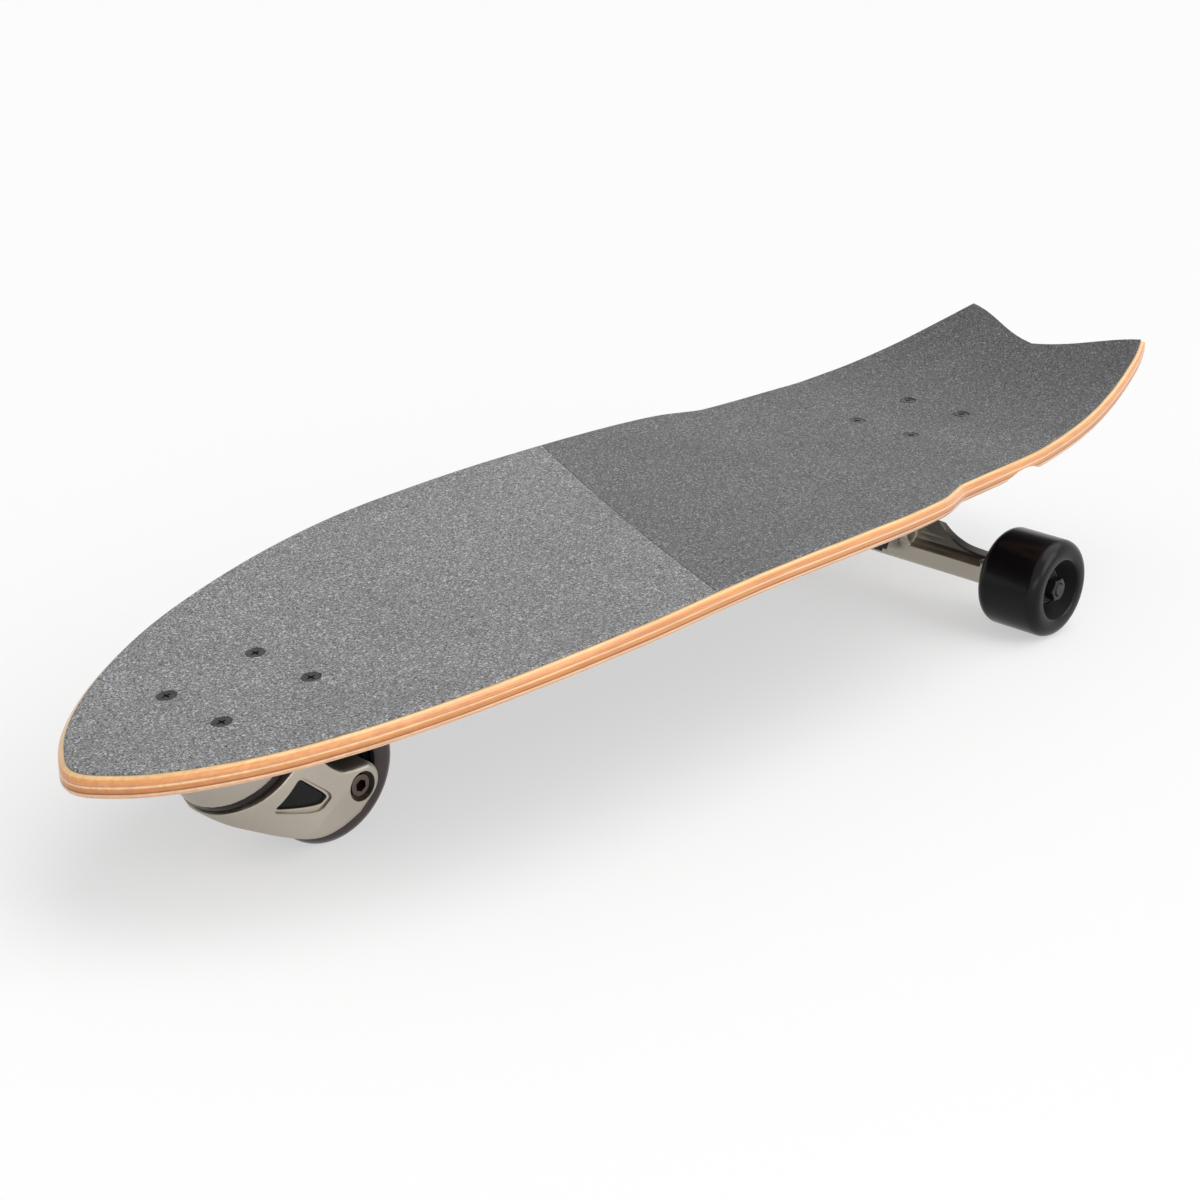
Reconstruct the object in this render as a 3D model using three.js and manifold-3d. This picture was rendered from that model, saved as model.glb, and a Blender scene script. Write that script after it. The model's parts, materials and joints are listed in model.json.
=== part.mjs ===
// Three-wheeled surf skateboard, millimetres.
// +X points to the nose, +Y to the rider's left, +Z up. The origin lies on the floor, under the
// middle of the board. One trailing wheel steers in a swivel fork under the nose, and a
// two-wheeled truck leans on rubber bushings under the tail.
import * as THREE from 'three';
import { mergeVertices } from 'three/addons/utils/BufferGeometryUtils.js';
import Module from 'manifold-3d';

// Driving dimensions of the deck.
const deckLength = 796;
const deckWidth = 230;
const deckThickness = 11;
const deckEdgeRound = 3;
const deckConcave = 5.5;
const deckCamber = 10.5;
const noseDrop = 8.1;
const tailKick = 28.3;
const notchDepth = 28;
const notchRun = 110;
const frontBoltInset = 97;
const rearBoltInset = 165;

// Driving dimensions of the grip tape.
const gripThickness = 1;
const gripInset = 3.4;
const glueLayer = 0.2;
const seamGap = 0.4;
const seamForward = 34;
const seamAngle = THREE.MathUtils.degToRad(25);

// Driving dimensions of the deck fasteners, the same at both ends.
const boltRowSpacing = 53.8;
const boltColumnSpacing = 41.3;
const boltRadius = 2.4;
const boltHeadRadius = 4.9;
const boltHeadHeight = 2.9;
const boltHeadSink = 0.2;
const boltTail = 0.6;
const crossLength = 5.4;
const crossWidth = 1.1;
const crossDepth = 1.3;
const nutHeight = 4.8;
const nutAcrossFlats = 9.4;

// Driving dimensions of the wheels.
const frontWheelRadius = 37.2;
const frontWheelWidth = 40;
const frontBowlRadius = 24;
const rearWheelRadius = 30.5;
const rearWheelWidth = 43;
const rearBowlRadius = 19;
const wheelLip = 7;
const bowlDepth = 8;
const bearingOuterRadius = 11;
const bearingInnerRadius = 4.35;
const bearingWidth = 7;
const bearingSpacerLength = 10;
const bearingSpacerRadius = 6;
const axleRadius = 4;
const coreRadius = 21;

// Driving dimensions of the front swivel unit. Lengths run along the tilted swivel axis.
const swivelTilt = THREE.MathUtils.degToRad(35);
const swivelForward = 2.5;
const frontBaseHeight = 23;
const axleTrail = 26.4;
const axleDrop = 42.1;
const ringRadius = 32;
const ringFlare = 5;
const grooveHeight = 3.2;
const sealInnerRadius = 24;
const sealRecess = 1.6;
const frontPlateLength = 88;
const frontPlateWidth = 62;
const frontPlateThickness = 5;
const frontPlateCorner = 11;
const frontNutRecess = 2;
const swivelBoltRadius = 5;
const swivelBoltHeadRadius = 9;
const swivelBoltHeadHeight = 4;
const swivelNutHeight = 5;
const swivelNutAcrossFlats = 16;
const swivelBearingRadius = 9.5;
const swivelBearingWidth = 5;
const hubHeight = 3.8;
const hubRadius = 7.4;

// Driving dimensions of the fork.
const forkHalfWidth = 37;
const crownHeight = 6;
const flareDepth = 36;
const bladeInnerHalf = 22;
const bladeRound = 3;
const forkBossRadius = 12;
const wheelCavityClearance = 2.2;
const wheelHubBossRadius = 8;
const counterboreRadius = 7.8;
const counterboreDepth = 9.5;
const axleBoltHeadRadius = 5.8;
const axleBoltHeadHeight = 8;
const axleBoltSocketRadius = 3;
const axleBoltSocketDepth = 4;
const windowDepth = 8;
const windowRim = 1.6;
const insertThickness = 2;

// Driving dimensions of the rear truck.
const truckHeight = 55;
const axleForward = 4.4;
const riserThickness = 13.3;
const rearPlateLength = 84;
const rearPlateWidth = 57;
const rearPlateThickness = 5.5;
const rearPlateCorner = 9;
const riserMargin = 1.5;
const kingpinAngle = THREE.MathUtils.degToRad(25);
const kingpinRadius = 4.75;
const kingpinHeadRadius = 8;
const kingpinHeadHeight = 5;
const kingpinNutHeight = 7;
const kingpinNutAcrossFlats = 14.2;
const kingpinTail = 2;
const ringSeatForward = 17;
const ringSeatDrop = 32;
const ringThickness = 8;
const ringOuterRadius = 15.5;
const ringBoreRadius = 7.4;
const bushingRadius = 11.8;
const bushingTipRadius = 9.4;
const upperBushingHeight = 12;
const lowerBushingHeight = 10;
const cupWasherRadius = 12.6;
const tipWasherRadius = 10.6;
const cupWasherThickness = 1.4;
const seatBossRadius = 13.6;
const pivotBack = 28;
const pivotDrop = 14;
const pivotBallRadius = 5;
const pivotStemRadius = 7.5;
const pivotMouthRadius = 6.6;
const pivotCupRadius = 8.4;
const pivotCupDepth = 11;
const pivotBossRadius = 11.5;
const hangerHalfWidth = 88;
const hangerHalfDepth = 9.6;
const hangerFacetHalf = 5.6;
const hangerHalfHeight = 9.3;
const hangerEndRadius = 10.8;
const hangerEndLength = 9;
const scoopRadius = 13.4;
const speedWasherThickness = 1;
const speedWasherRadius = 6.5;
const axleNutHeight = 6;
const axleNutAcrossFlats = 12.6;
const axleTip = 0.8;

// Driving dimensions of the wheel wells scooped under the deck's edges.
const wellRadius = 50;
const wellDepth = 5.2;
const wellReach = 36;
const wellLead = 14;

// Clearances, and the overrun that lets every cut pass through.
const clearance = 0.3;
const holeClearance = 0.35;
const overrun = 4;

// Counts of steps round turned shapes and along the deck.
const wheelSteps = 24;
const turnedSteps = 16;
const smallSteps = 8;
const deckRows = 29;
const deckColumns = 7;
const roundSteps = 2;
const curveSteps = 4;
const ringSteps = 8;
const flareLevels = 3;
const hexSides = 6;

// Deck outline from the nose to a tail tip: share of the length, share of the half width.
const outlineShares = [
  [0, 0],
  [0.0012, 0.05],
  [0.005, 0.109],
  [0.024, 0.286],
  [0.062, 0.497],
  [0.118, 0.697],
  [0.175, 0.827],
  [0.25, 0.935],
  [0.325, 0.992],
  [0.4, 1],
  [0.5515, 1],
  [0.608, 0.988],
  [0.646, 0.957],
  [0.664, 0.918],
  [0.678, 0.888],
  [0.69, 0.88],
  [0.721, 0.871],
  [0.778, 0.854],
  [0.834, 0.823],
  [0.891, 0.774],
  [0.947, 0.698],
  [0.984, 0.63],
  [1, 0.587],
];

// Height of the deck's middle line over the straight line between the two bolt groups. The nose
// shares run from the front bolts to the nose, the middle ones from the front bolts to the rear
// bolts, and the tail ones from the rear bolts to the tail.
const noseDropShares = [[1, 1], [0.8, 0.77], [0.54, 0.51], [0.27, 0.27]];
const camberShares = [
  [0.08, 0.29],
  [0.19, 0.65],
  [0.3, 0.89],
  [0.45, 1],
  [0.58, 0.84],
  [0.73, 0.51],
  [0.86, 0.2],
];
const tailKickShares = [[0.09, 0.01], [0.35, 0.11], [0.6, 0.335], [0.87, 0.735], [1, 1]];

// Depth of the deck's hollow across its width: share of the length against share of the depth.
const concaveShares = [[0, 1], [0.12, 1], [0.46, 0.62], [0.79, 0.55], [1, 0.6]];

// Fork outline seen from the side, as shares of the axle's trail and drop. It starts at the front
// of the swivel ring and runs under the wheel to the axle boss.
const forkUndersideShares = [
  [1.24, -0.08],
  [1.14, -0.22],
  [0.94, -0.4],
  [0.7, -0.63],
  [0.21, -1.03],
  [-0.2, -1.215],
  [-0.67, -1.315],
];
const forkBackShares = [
  [-1.386, -0.848],
  [-1.1, -0.72],
  [-0.91, -0.62],
  [-0.79, -0.46],
  [-0.74, -0.3],
];
const forkShoulderShare = 0.74;
const bossStartShare = 0.53;

// Corners of the blade's window as shares of the trail and drop, from its upper rear corner.
const windowShares = [
  [-0.2, -0.185],
  [0.515, -0.267],
  [-0.08, -0.755],
  [-0.4, -0.672],
];
const windowCornerShare = 0.35;

// Hanger wing seen from the front: share of the wing's height against share of its half width.
const wingShares = [
  [0.76, 0],
  [0.64, 0.04],
  [0.5, 0.27],
  [0.39, 0.68],
  [0.3, 1],
];

const wasm = await Module();
wasm.setup();

// A closed triangle mesh as a solid that can be joined and cut.
function solid(geometry) {
  const bare = geometry.clone();
  bare.deleteAttribute('normal');
  bare.deleteAttribute('uv');
  const merged = mergeVertices(bare);
  const places = merged.getAttribute('position').array;
  const index = merged.index.array;
  const corners = [];
  for (let i = 0; i < index.length; i += 3) {
    const [a, b, c] = [index[i], index[i + 1], index[i + 2]];
    if (a !== b && b !== c && c !== a) corners.push(a, b, c);
  }
  if (signedVolume(places, corners) < 0) corners.reverse();
  return new wasm.Manifold(new wasm.Mesh({
    numProp: 3,
    vertProperties: new Float32Array(places),
    triVerts: new Uint32Array(corners),
  }));
}

function signedVolume(places, corners) {
  const [a, b, c] = [new THREE.Vector3(), new THREE.Vector3(), new THREE.Vector3()];
  let sum = 0;
  for (let i = 0; i < corners.length; i += 3) {
    a.fromArray(places, corners[i] * 3);
    b.fromArray(places, corners[i + 1] * 3);
    c.fromArray(places, corners[i + 2] * 3);
    sum += a.dot(b.cross(c));
  }
  return sum;
}

function cut(body, ...tools) {
  return tools.reduce((left, tool) => left.subtract(tool), body);
}

function join(...bodies) {
  return bodies.reduce((left, right) => left.add(right));
}

// A named sub-part in the frame of the group that carries it.
function addPart(group, name, body, material) {
  const mesh = body.getMesh();
  const geometry = new THREE.BufferGeometry();
  geometry.setAttribute('position', new THREE.BufferAttribute(mesh.vertProperties, 3));
  geometry.setIndex(new THREE.BufferAttribute(mesh.triVerts, 1));
  geometry.computeVertexNormals();
  const part = new THREE.Mesh(geometry, material.clone());
  part.name = name;
  group.add(part);
  return part;
}

function addGroup(parent, x, y, z, turnY = 0) {
  const group = new THREE.Group();
  group.position.set(x, y, z);
  group.rotation.y = turnY;
  parent.add(group);
  return group;
}

// Shapes turned about the Z axis from [radius, height] pairs.
function turned(profile, steps) {
  const points = profile.map(([radius, height]) => new THREE.Vector2(radius, height));
  return new THREE.LatheGeometry(points, steps).rotateX(Math.PI / 2);
}

function rod(radius, low, high, steps = turnedSteps) {
  return turned([[0, low], [radius, low], [radius, high], [0, high]], steps);
}

function ring(inner, outer, low, high, steps = turnedSteps) {
  return turned([[inner, low], [outer, low], [outer, high], [inner, high], [inner, low]], steps);
}

function hexPrism(acrossFlats, low, high) {
  const corner = acrossFlats / 2 / Math.cos(Math.PI / hexSides);
  return rod(corner, low, high, hexSides);
}

// Turns a shape made about Z so that its axis lies along Y, with +Z going to +Y.
function alongY(geometry) {
  return geometry.rotateX(-Math.PI / 2);
}

function block(x0, x1, y0, y1, z0, z1) {
  const box = new THREE.BoxGeometry(x1 - x0, y1 - y0, z1 - z0);
  return box.translate((x0 + x1) / 2, (y0 + y1) / 2, (z0 + z1) / 2);
}

// A plate between two heights with the outline of a shape in plan.
function planExtrusion(shape, low, high) {
  const options = { depth: high - low, bevelEnabled: false, curveSegments: curveSteps };
  return new THREE.ExtrudeGeometry(shape, options).translate(0, 0, low);
}

// A slab across the board, with the outline of a shape in side view and rounded outer edges.
function sideExtrusion(shape, fromY, toY, round = 0) {
  const options = {
    depth: toY - fromY - 2 * round,
    bevelEnabled: round > 0,
    bevelThickness: round,
    bevelSize: round,
    bevelOffset: -round,
    bevelSegments: roundSteps,
    curveSegments: curveSteps,
  };
  const slab = new THREE.ExtrudeGeometry(shape, options);
  return slab.rotateX(Math.PI / 2).translate(0, toY - round, 0);
}

function roundedRectangle(length, width, corner) {
  const shape = new THREE.Shape();
  const [x, y] = [length / 2, width / 2];
  shape.moveTo(x - corner, -y);
  shape.absarc(x - corner, corner - y, corner, -Math.PI / 2, 0);
  shape.absarc(x - corner, y - corner, corner, 0, Math.PI / 2);
  shape.absarc(corner - x, y - corner, corner, Math.PI / 2, Math.PI);
  shape.absarc(corner - x, corner - y, corner, Math.PI, Math.PI * 1.5);
  return shape;
}

function scaledPoints(shares, x, y) {
  return shares.map(([xShare, yShare]) => new THREE.Vector2(xShare * x, yShare * y));
}

// Smooth curve through knots [place, value] sorted by place.
function smoothAt(knots, place) {
  const last = knots.length - 1;
  let i = 0;
  while (i < last - 1 && place > knots[i + 1][0]) i += 1;
  const slope = (a, b) => (knots[b][1] - knots[a][1]) / (knots[b][0] - knots[a][0]);
  const slopeAt = (k) => slope(Math.max(k - 1, 0), Math.min(k + 1, last));
  const step = knots[i + 1][0] - knots[i][0];
  const t = (place - knots[i][0]) / step;
  const rise = t * t * (3 - 2 * t);
  const value = THREE.MathUtils.lerp(knots[i][1], knots[i + 1][1], rise);
  const leave = slopeAt(i) * t * (1 - t) ** 2;
  const arrive = slopeAt(i + 1) * t * t * (1 - t);
  return value + step * (leave - arrive);
}

// Places that follow from the driving dimensions.
const noseX = deckLength / 2;
const tailX = -deckLength / 2;
const frontBoltX = noseX - frontBoltInset;
const rearBoltX = tailX + rearBoltInset;
const boltBase = frontBoltX - rearBoltX;
const halfWidth = deckWidth / 2;
const swivelX = frontBoltX + swivelForward;
const swivelZ = frontWheelRadius + axleDrop * Math.cos(swivelTilt) - axleTrail * Math.sin(swivelTilt);
const frontTop = swivelZ + frontBaseHeight + deckThickness;
const rearTop = rearWheelRadius + truckHeight + riserThickness + deckThickness;
const rearAxleX = rearBoltX + axleForward;

const liftKnots = [
  ...tailKickShares.map(([run, lift]) => [rearBoltX - run * rearBoltInset, lift * tailKick]),
  [rearBoltX, 0],
  ...camberShares.map(([run, lift]) => [frontBoltX - run * boltBase, lift * deckCamber]),
  [frontBoltX, 0],
  ...noseDropShares.map(([run, lift]) => [frontBoltX + run * frontBoltInset, -lift * noseDrop]),
].sort((a, b) => a[0] - b[0]);

function concaveAt(x) {
  return deckConcave * smoothAt(concaveShares, (noseX - x) / deckLength);
}

// Height of the deck's top over the floor.
function deckTop(x, y) {
  const chord = THREE.MathUtils.mapLinear(x, rearBoltX, frontBoltX, rearTop, frontTop);
  return chord + smoothAt(liftKnots, x) + concaveAt(x) * (y / halfWidth) ** 2;
}

function deckPitch(x) {
  const fall = deckTop(x - boltRowSpacing / 2, 0) - deckTop(x + boltRowSpacing / 2, 0);
  return Math.atan2(fall, boltRowSpacing);
}

const frontPitch = deckPitch(frontBoltX);
const rearPitch = deckPitch(rearBoltX);

// Lowest gap between the deck's underside and a flat seat of the given size under it.
function seatSlack(boltX, pitch, length, width) {
  const middle = deckTop(boltX, 0);
  let slack = 0;
  for (const along of [-length / 2, -length / 4, length / 4, length / 2]) {
    for (const across of [0, width / 2]) {
      const flat = middle - along * Math.tan(pitch);
      slack = Math.max(slack, flat - deckTop(boltX + along, across));
    }
  }
  return slack + clearance;
}

// The deck's outline on one side, from the nose tip to the tail tip, inset by a distance.
const sideCurve = new THREE.CatmullRomCurve3(
  outlineShares.map(([run, width]) => new THREE.Vector3(noseX - run * deckLength, width * halfWidth, 0)),
  false,
  'centripetal',
);

function sidePoint(row, inset) {
  if (row === 0) return new THREE.Vector2(noseX - inset, 0);
  const t = row / deckRows;
  const point = sideCurve.getPoint(t);
  const tangent = sideCurve.getTangent(t);
  const inward = new THREE.Vector2(tangent.y, -tangent.x).multiplyScalar(tangent.x < 0 ? -1 : 1);
  if (row === deckRows) {
    const tailEdge = new THREE.Vector2(notchDepth, -point.y).normalize();
    const forward = new THREE.Vector2(-tailEdge.y, tailEdge.x);
    inward.add(forward).multiplyScalar(1 / (1 + inward.dot(forward)));
  }
  return new THREE.Vector2(point.x + inward.x * inset, point.y + inward.y * inset);
}

// Share of the notch's depth at a share of the half width.
function notchShare(across) {
  const straight = 1 - Math.abs(across);
  const soft = (1 - Math.cos(Math.PI * straight)) / 2;
  return (straight + soft) / 2;
}

// A vertex of the board's skin: row along the board, across from -1 to 1.
function skinPoint(row, across, inset, rise) {
  const side = sidePoint(row, inset);
  const reach = THREE.MathUtils.clamp((tailX + notchRun - side.x) / notchRun, 0, 1);
  const tipWidth = outlineShares.at(-1)[1] * halfWidth;
  const depth = notchDepth * side.y / tipWidth * reach;
  const x = side.x + depth * notchShare(across);
  const y = side.y * across;
  return [x, y, deckTop(x, y) + rise];
}

// A closed plate that follows the board's skin between two rises over the deck's top.
function skinPlate(inset, topRise, bottomRise, round) {
  const places = [];
  const faces = [];
  const grid = (gridInset, rise) => {
    const ids = [];
    const tip = places.push(skinPoint(0, 0, gridInset, rise)) - 1;
    ids.push(new Array(deckColumns + 1).fill(tip));
    for (let row = 1; row <= deckRows; row += 1) {
      const line = [];
      for (let column = 0; column <= deckColumns; column += 1) {
        const across = 1 - 2 * column / deckColumns;
        line.push(places.push(skinPoint(row, across, gridInset, rise)) - 1);
      }
      ids.push(line);
    }
    return ids;
  };
  const border = (ids) => [
    ids[0][0],
    ...ids.slice(1).map((line) => line[0]),
    ...ids[deckRows].slice(1, -1),
    ...ids.slice(1).map((line) => line[deckColumns]).reverse(),
  ];
  const edgeRing = (ringInset, rise) => {
    const loop = [places.push(skinPoint(0, 0, ringInset, rise)) - 1];
    for (let row = 1; row <= deckRows; row += 1) {
      loop.push(places.push(skinPoint(row, 1, ringInset, rise)) - 1);
    }
    for (let column = 1; column < deckColumns; column += 1) {
      loop.push(places.push(skinPoint(deckRows, 1 - 2 * column / deckColumns, ringInset, rise)) - 1);
    }
    for (let row = deckRows; row > 0; row -= 1) {
      loop.push(places.push(skinPoint(row, -1, ringInset, rise)) - 1);
    }
    return loop;
  };
  const cover = (ids, flip) => {
    for (let row = 0; row < deckRows; row += 1) {
      for (let column = 0; column < deckColumns; column += 1) {
        const [a, b] = [ids[row][column], ids[row][column + 1]];
        const [c, d] = [ids[row + 1][column], ids[row + 1][column + 1]];
        if (a !== b) faces.push(flip ? [a, b, d] : [a, d, b]);
        faces.push(flip ? [a, d, c] : [a, c, d]);
      }
    }
  };
  const top = grid(inset + round, topRise);
  const bottom = grid(inset + round, bottomRise);
  const loops = [border(top)];
  if (round > 0) {
    for (const [rise, sign] of [[topRise, -1], [bottomRise, 1]]) {
      for (let step = 1; step <= roundSteps; step += 1) {
        const part = sign < 0 ? step : roundSteps + 1 - step;
        const angle = part / roundSteps * Math.PI / 2;
        loops.push(edgeRing(inset + round * (1 - Math.sin(angle)), rise + sign * round * (1 - Math.cos(angle))));
      }
    }
  }
  loops.push(border(bottom));
  cover(top, false);
  cover(bottom, true);
  for (let k = 0; k + 1 < loops.length; k += 1) {
    const [upper, lower] = [loops[k], loops[k + 1]];
    upper.forEach((a, i) => {
      const next = (i + 1) % upper.length;
      faces.push([a, lower[i], upper[next]], [upper[next], lower[i], lower[next]]);
    });
  }
  const geometry = new THREE.BufferGeometry();
  geometry.setAttribute('position', new THREE.Float32BufferAttribute(places.flat(), 3));
  geometry.setIndex(faces.flat());
  return solid(geometry);
}

// Materials.
const grit = { metalness: 0, roughness: 0.95 };
const lightGrip = new THREE.MeshStandardMaterial({ color: 0x6f7072, ...grit });
const darkGrip = new THREE.MeshStandardMaterial({ color: 0x4b4c4d, ...grit });
const maple = new THREE.MeshStandardMaterial({ color: 0xe0a666, metalness: 0, roughness: 0.45 });
const blackSteel = new THREE.MeshStandardMaterial({ color: 0x1c1c1d, metalness: 0.7, roughness: 0.4 });
const satinAlloy = new THREE.MeshStandardMaterial({ color: 0xa8a398, metalness: 0.75, roughness: 0.42 });
const brightSteel = new THREE.MeshStandardMaterial({ color: 0xc8c8c6, metalness: 1, roughness: 0.22 });
const blackUrethane = new THREE.MeshStandardMaterial({ color: 0x0f0e10, metalness: 0, roughness: 0.2 });
const smokeUrethane = new THREE.MeshStandardMaterial({ color: 0x3a3433, metalness: 0, roughness: 0.25 });
const bushingUrethane = new THREE.MeshStandardMaterial({ color: 0x201f21, metalness: 0, roughness: 0.4 });
const blackPlastic = new THREE.MeshStandardMaterial({ color: 0x141414, metalness: 0, roughness: 0.35 });
const sealRubber = new THREE.MeshStandardMaterial({ color: 0x19130f, metalness: 0, roughness: 0.3 });

const board = new THREE.Group();

// Where the fasteners of one truck stand, seen from its own bolt centre.
const boltPlaces = [];
for (const side of [1, -1]) {
  for (const end of [1, -1]) {
    boltPlaces.push([end * boltRowSpacing / 2, side * boltColumnSpacing / 2]);
  }
}

// Height of the deck's top at each bolt over the plane of a mount with the given pitch.
function boltRises(boltX, pitch) {
  return boltPlaces.map(([x, y]) => {
    const fall = x * Math.sin(pitch);
    return deckTop(boltX + x * Math.cos(pitch), y) - deckTop(boltX, 0) + fall;
  });
}

const frontRises = boltRises(frontBoltX, frontPitch);
const rearRises = boltRises(rearBoltX, 0);

// Groups under the deck. The front one follows the deck's slope and the rear one stays level.
const frontSlack = seatSlack(frontBoltX, frontPitch, frontPlateLength, frontPlateWidth);
const rearSlack = seatSlack(rearBoltX, rearPitch, rearPlateLength, rearPlateWidth);
const frontSeatZ = frontTop - deckThickness;
const rearSeatZ = rearTop - deckThickness;
const frontLean = deckThickness * Math.tan(frontPitch);
const frontMount = addGroup(board, frontBoltX - frontLean, 0, frontSeatZ, frontPitch);
const rearMount = addGroup(board, rearBoltX, 0, rearSeatZ);

// The swivel's place and tilt seen from the front mount.
const wedgeAngle = swivelTilt - frontPitch;
const swivelOffset = new THREE.Vector3(swivelForward + frontLean, 0, -frontBaseHeight)
  .applyAxisAngle(new THREE.Vector3(0, 1, 0), -frontPitch);
const swivel = addGroup(frontMount, swivelOffset.x, 0, swivelOffset.z, wedgeAngle);

// Moves a shape made in the swivel's frame into the front mount's frame.
function fromSwivel(geometry) {
  return geometry.rotateY(wedgeAngle).translate(swivelOffset.x, 0, swivelOffset.z);
}

// Top of a bolt's head over its mount, where the deck rises by the given height.
function headTopAt(rise) {
  return deckThickness + glueLayer + gripThickness - boltHeadSink + rise;
}

function boltBody(nutSeat, rise) {
  const headTop = headTopAt(rise);
  const neck = headTop - boltHeadHeight;
  const tip = nutSeat - clearance - nutHeight - boltTail;
  const body = solid(turned([
    [0, tip],
    [boltRadius, tip],
    [boltRadius, neck],
    [boltHeadRadius, headTop],
    [0, headTop],
  ], smallSteps));
  const [half, arm] = [crossWidth / 2, crossLength / 2];
  const floor = headTop - crossDepth;
  const along = solid(block(-arm, arm, -half, half, floor, headTop + overrun));
  const across = solid(block(-half, half, -arm, arm, floor, headTop + overrun));
  return cut(body, along, across);
}

function nutBody(nutSeat) {
  const high = nutSeat - clearance;
  const blank = solid(hexPrism(nutAcrossFlats, high - nutHeight, high));
  const bore = rod(boltRadius + holeClearance, high - nutHeight - overrun, high + overrun, smallSteps);
  return cut(blank, solid(bore));
}

// The hole of one bolt through the grip tape, the deck and what is clamped under it.
function boltHole(lowest, rise) {
  const headTop = headTopAt(rise);
  const wide = boltHeadRadius + holeClearance;
  const narrow = boltRadius + holeClearance;
  return turned([
    [0, lowest],
    [narrow, lowest],
    [narrow, headTop - boltHeadHeight - clearance],
    [wide, headTop - clearance],
    [wide, headTop + overrun],
    [0, headTop + overrun],
  ], smallSteps);
}

function mountedHoles(boltX, seatZ, pitch, rises) {
  return boltPlaces.map(([x, y], i) => {
    const hole = boltHole(-deckThickness, rises[i]).translate(x, y, 0).rotateY(pitch);
    return solid(hole.translate(boltX, 0, seatZ));
  });
}

// Deck and grip tape.
const deckHoles = [
  ...mountedHoles(frontBoltX - frontLean, frontSeatZ, frontPitch, frontRises),
  ...mountedHoles(rearBoltX, rearSeatZ, 0, rearRises),
];

function wheelWell(side) {
  const wellX = rearAxleX + wellLead;
  const edgeY = smoothAt(
    outlineShares.map(([run, width]) => [run * deckLength, width * halfWidth]),
    noseX - wellX,
  );
  const underside = deckTop(wellX, edgeY) - deckThickness;
  const tilt = Math.atan2(wellDepth, wellReach);
  const scoop = alongY(rod(wellRadius, -wellReach - overrun, wellReach, wheelSteps));
  scoop.rotateX(tilt).translate(wellX, edgeY, underside + wellDepth - wellRadius / Math.cos(tilt));
  if (side < 0) scoop.rotateZ(Math.PI).translate(2 * wellX, 0, 0);
  return solid(scoop);
}

const deckBlank = skinPlate(0, 0, -deckThickness, deckEdgeRound);
const deckBody = cut(deckBlank, wheelWell(1), wheelWell(-1), ...deckHoles);
addPart(board, 'deck', deckBody, maple);

// Half space on one side of the grip tape's slanting seam.
function seamHalf(side) {
  const reach = deckLength;
  const [near, far] = [side * seamGap / 2, side * reach];
  const slab = block(Math.min(near, far), Math.max(near, far), -reach, reach, -reach, reach);
  return solid(slab.rotateZ(-seamAngle).translate(seamForward, 0, 0));
}

const gripBlank = skinPlate(gripInset, glueLayer + gripThickness, glueLayer, 0);
const gripSheet = cut(gripBlank, ...deckHoles);
addPart(board, 'grip_tape_nose', gripSheet.intersect(seamHalf(1)), lightGrip);
addPart(board, 'grip_tape_tail', gripSheet.intersect(seamHalf(-1)), darkGrip);

// Bolts and nuts of one mount.
function addFasteners(group, end, nutSeat, rises) {
  boltPlaces.forEach(([x, y], i) => {
    const boltName = `${end}_deck_bolt_${i + 1}`;
    const bolt = addPart(group, boltName, boltBody(nutSeat, rises[i]), blackSteel);
    const nut = addPart(group, `${end}_lock_nut_${i + 1}`, nutBody(nutSeat), blackSteel);
    bolt.position.set(x, y, 0);
    nut.position.set(x, y, 0);
  });
}

// Swivel stack, heights along the swivel axis over the top face of the fork.
const lowerBearingLow = hubHeight + clearance;
const lowerBearingHigh = lowerBearingLow + swivelBearingWidth;
const upperBearingLow = lowerBearingHigh + clearance;
const upperBearingHigh = upperBearingLow + swivelBearingWidth;
const swivelNutLow = upperBearingHigh + clearance;
const swivelNutHigh = swivelNutLow + swivelNutHeight;
const swivelHeadLow = -swivelBoltHeadHeight - clearance;

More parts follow.
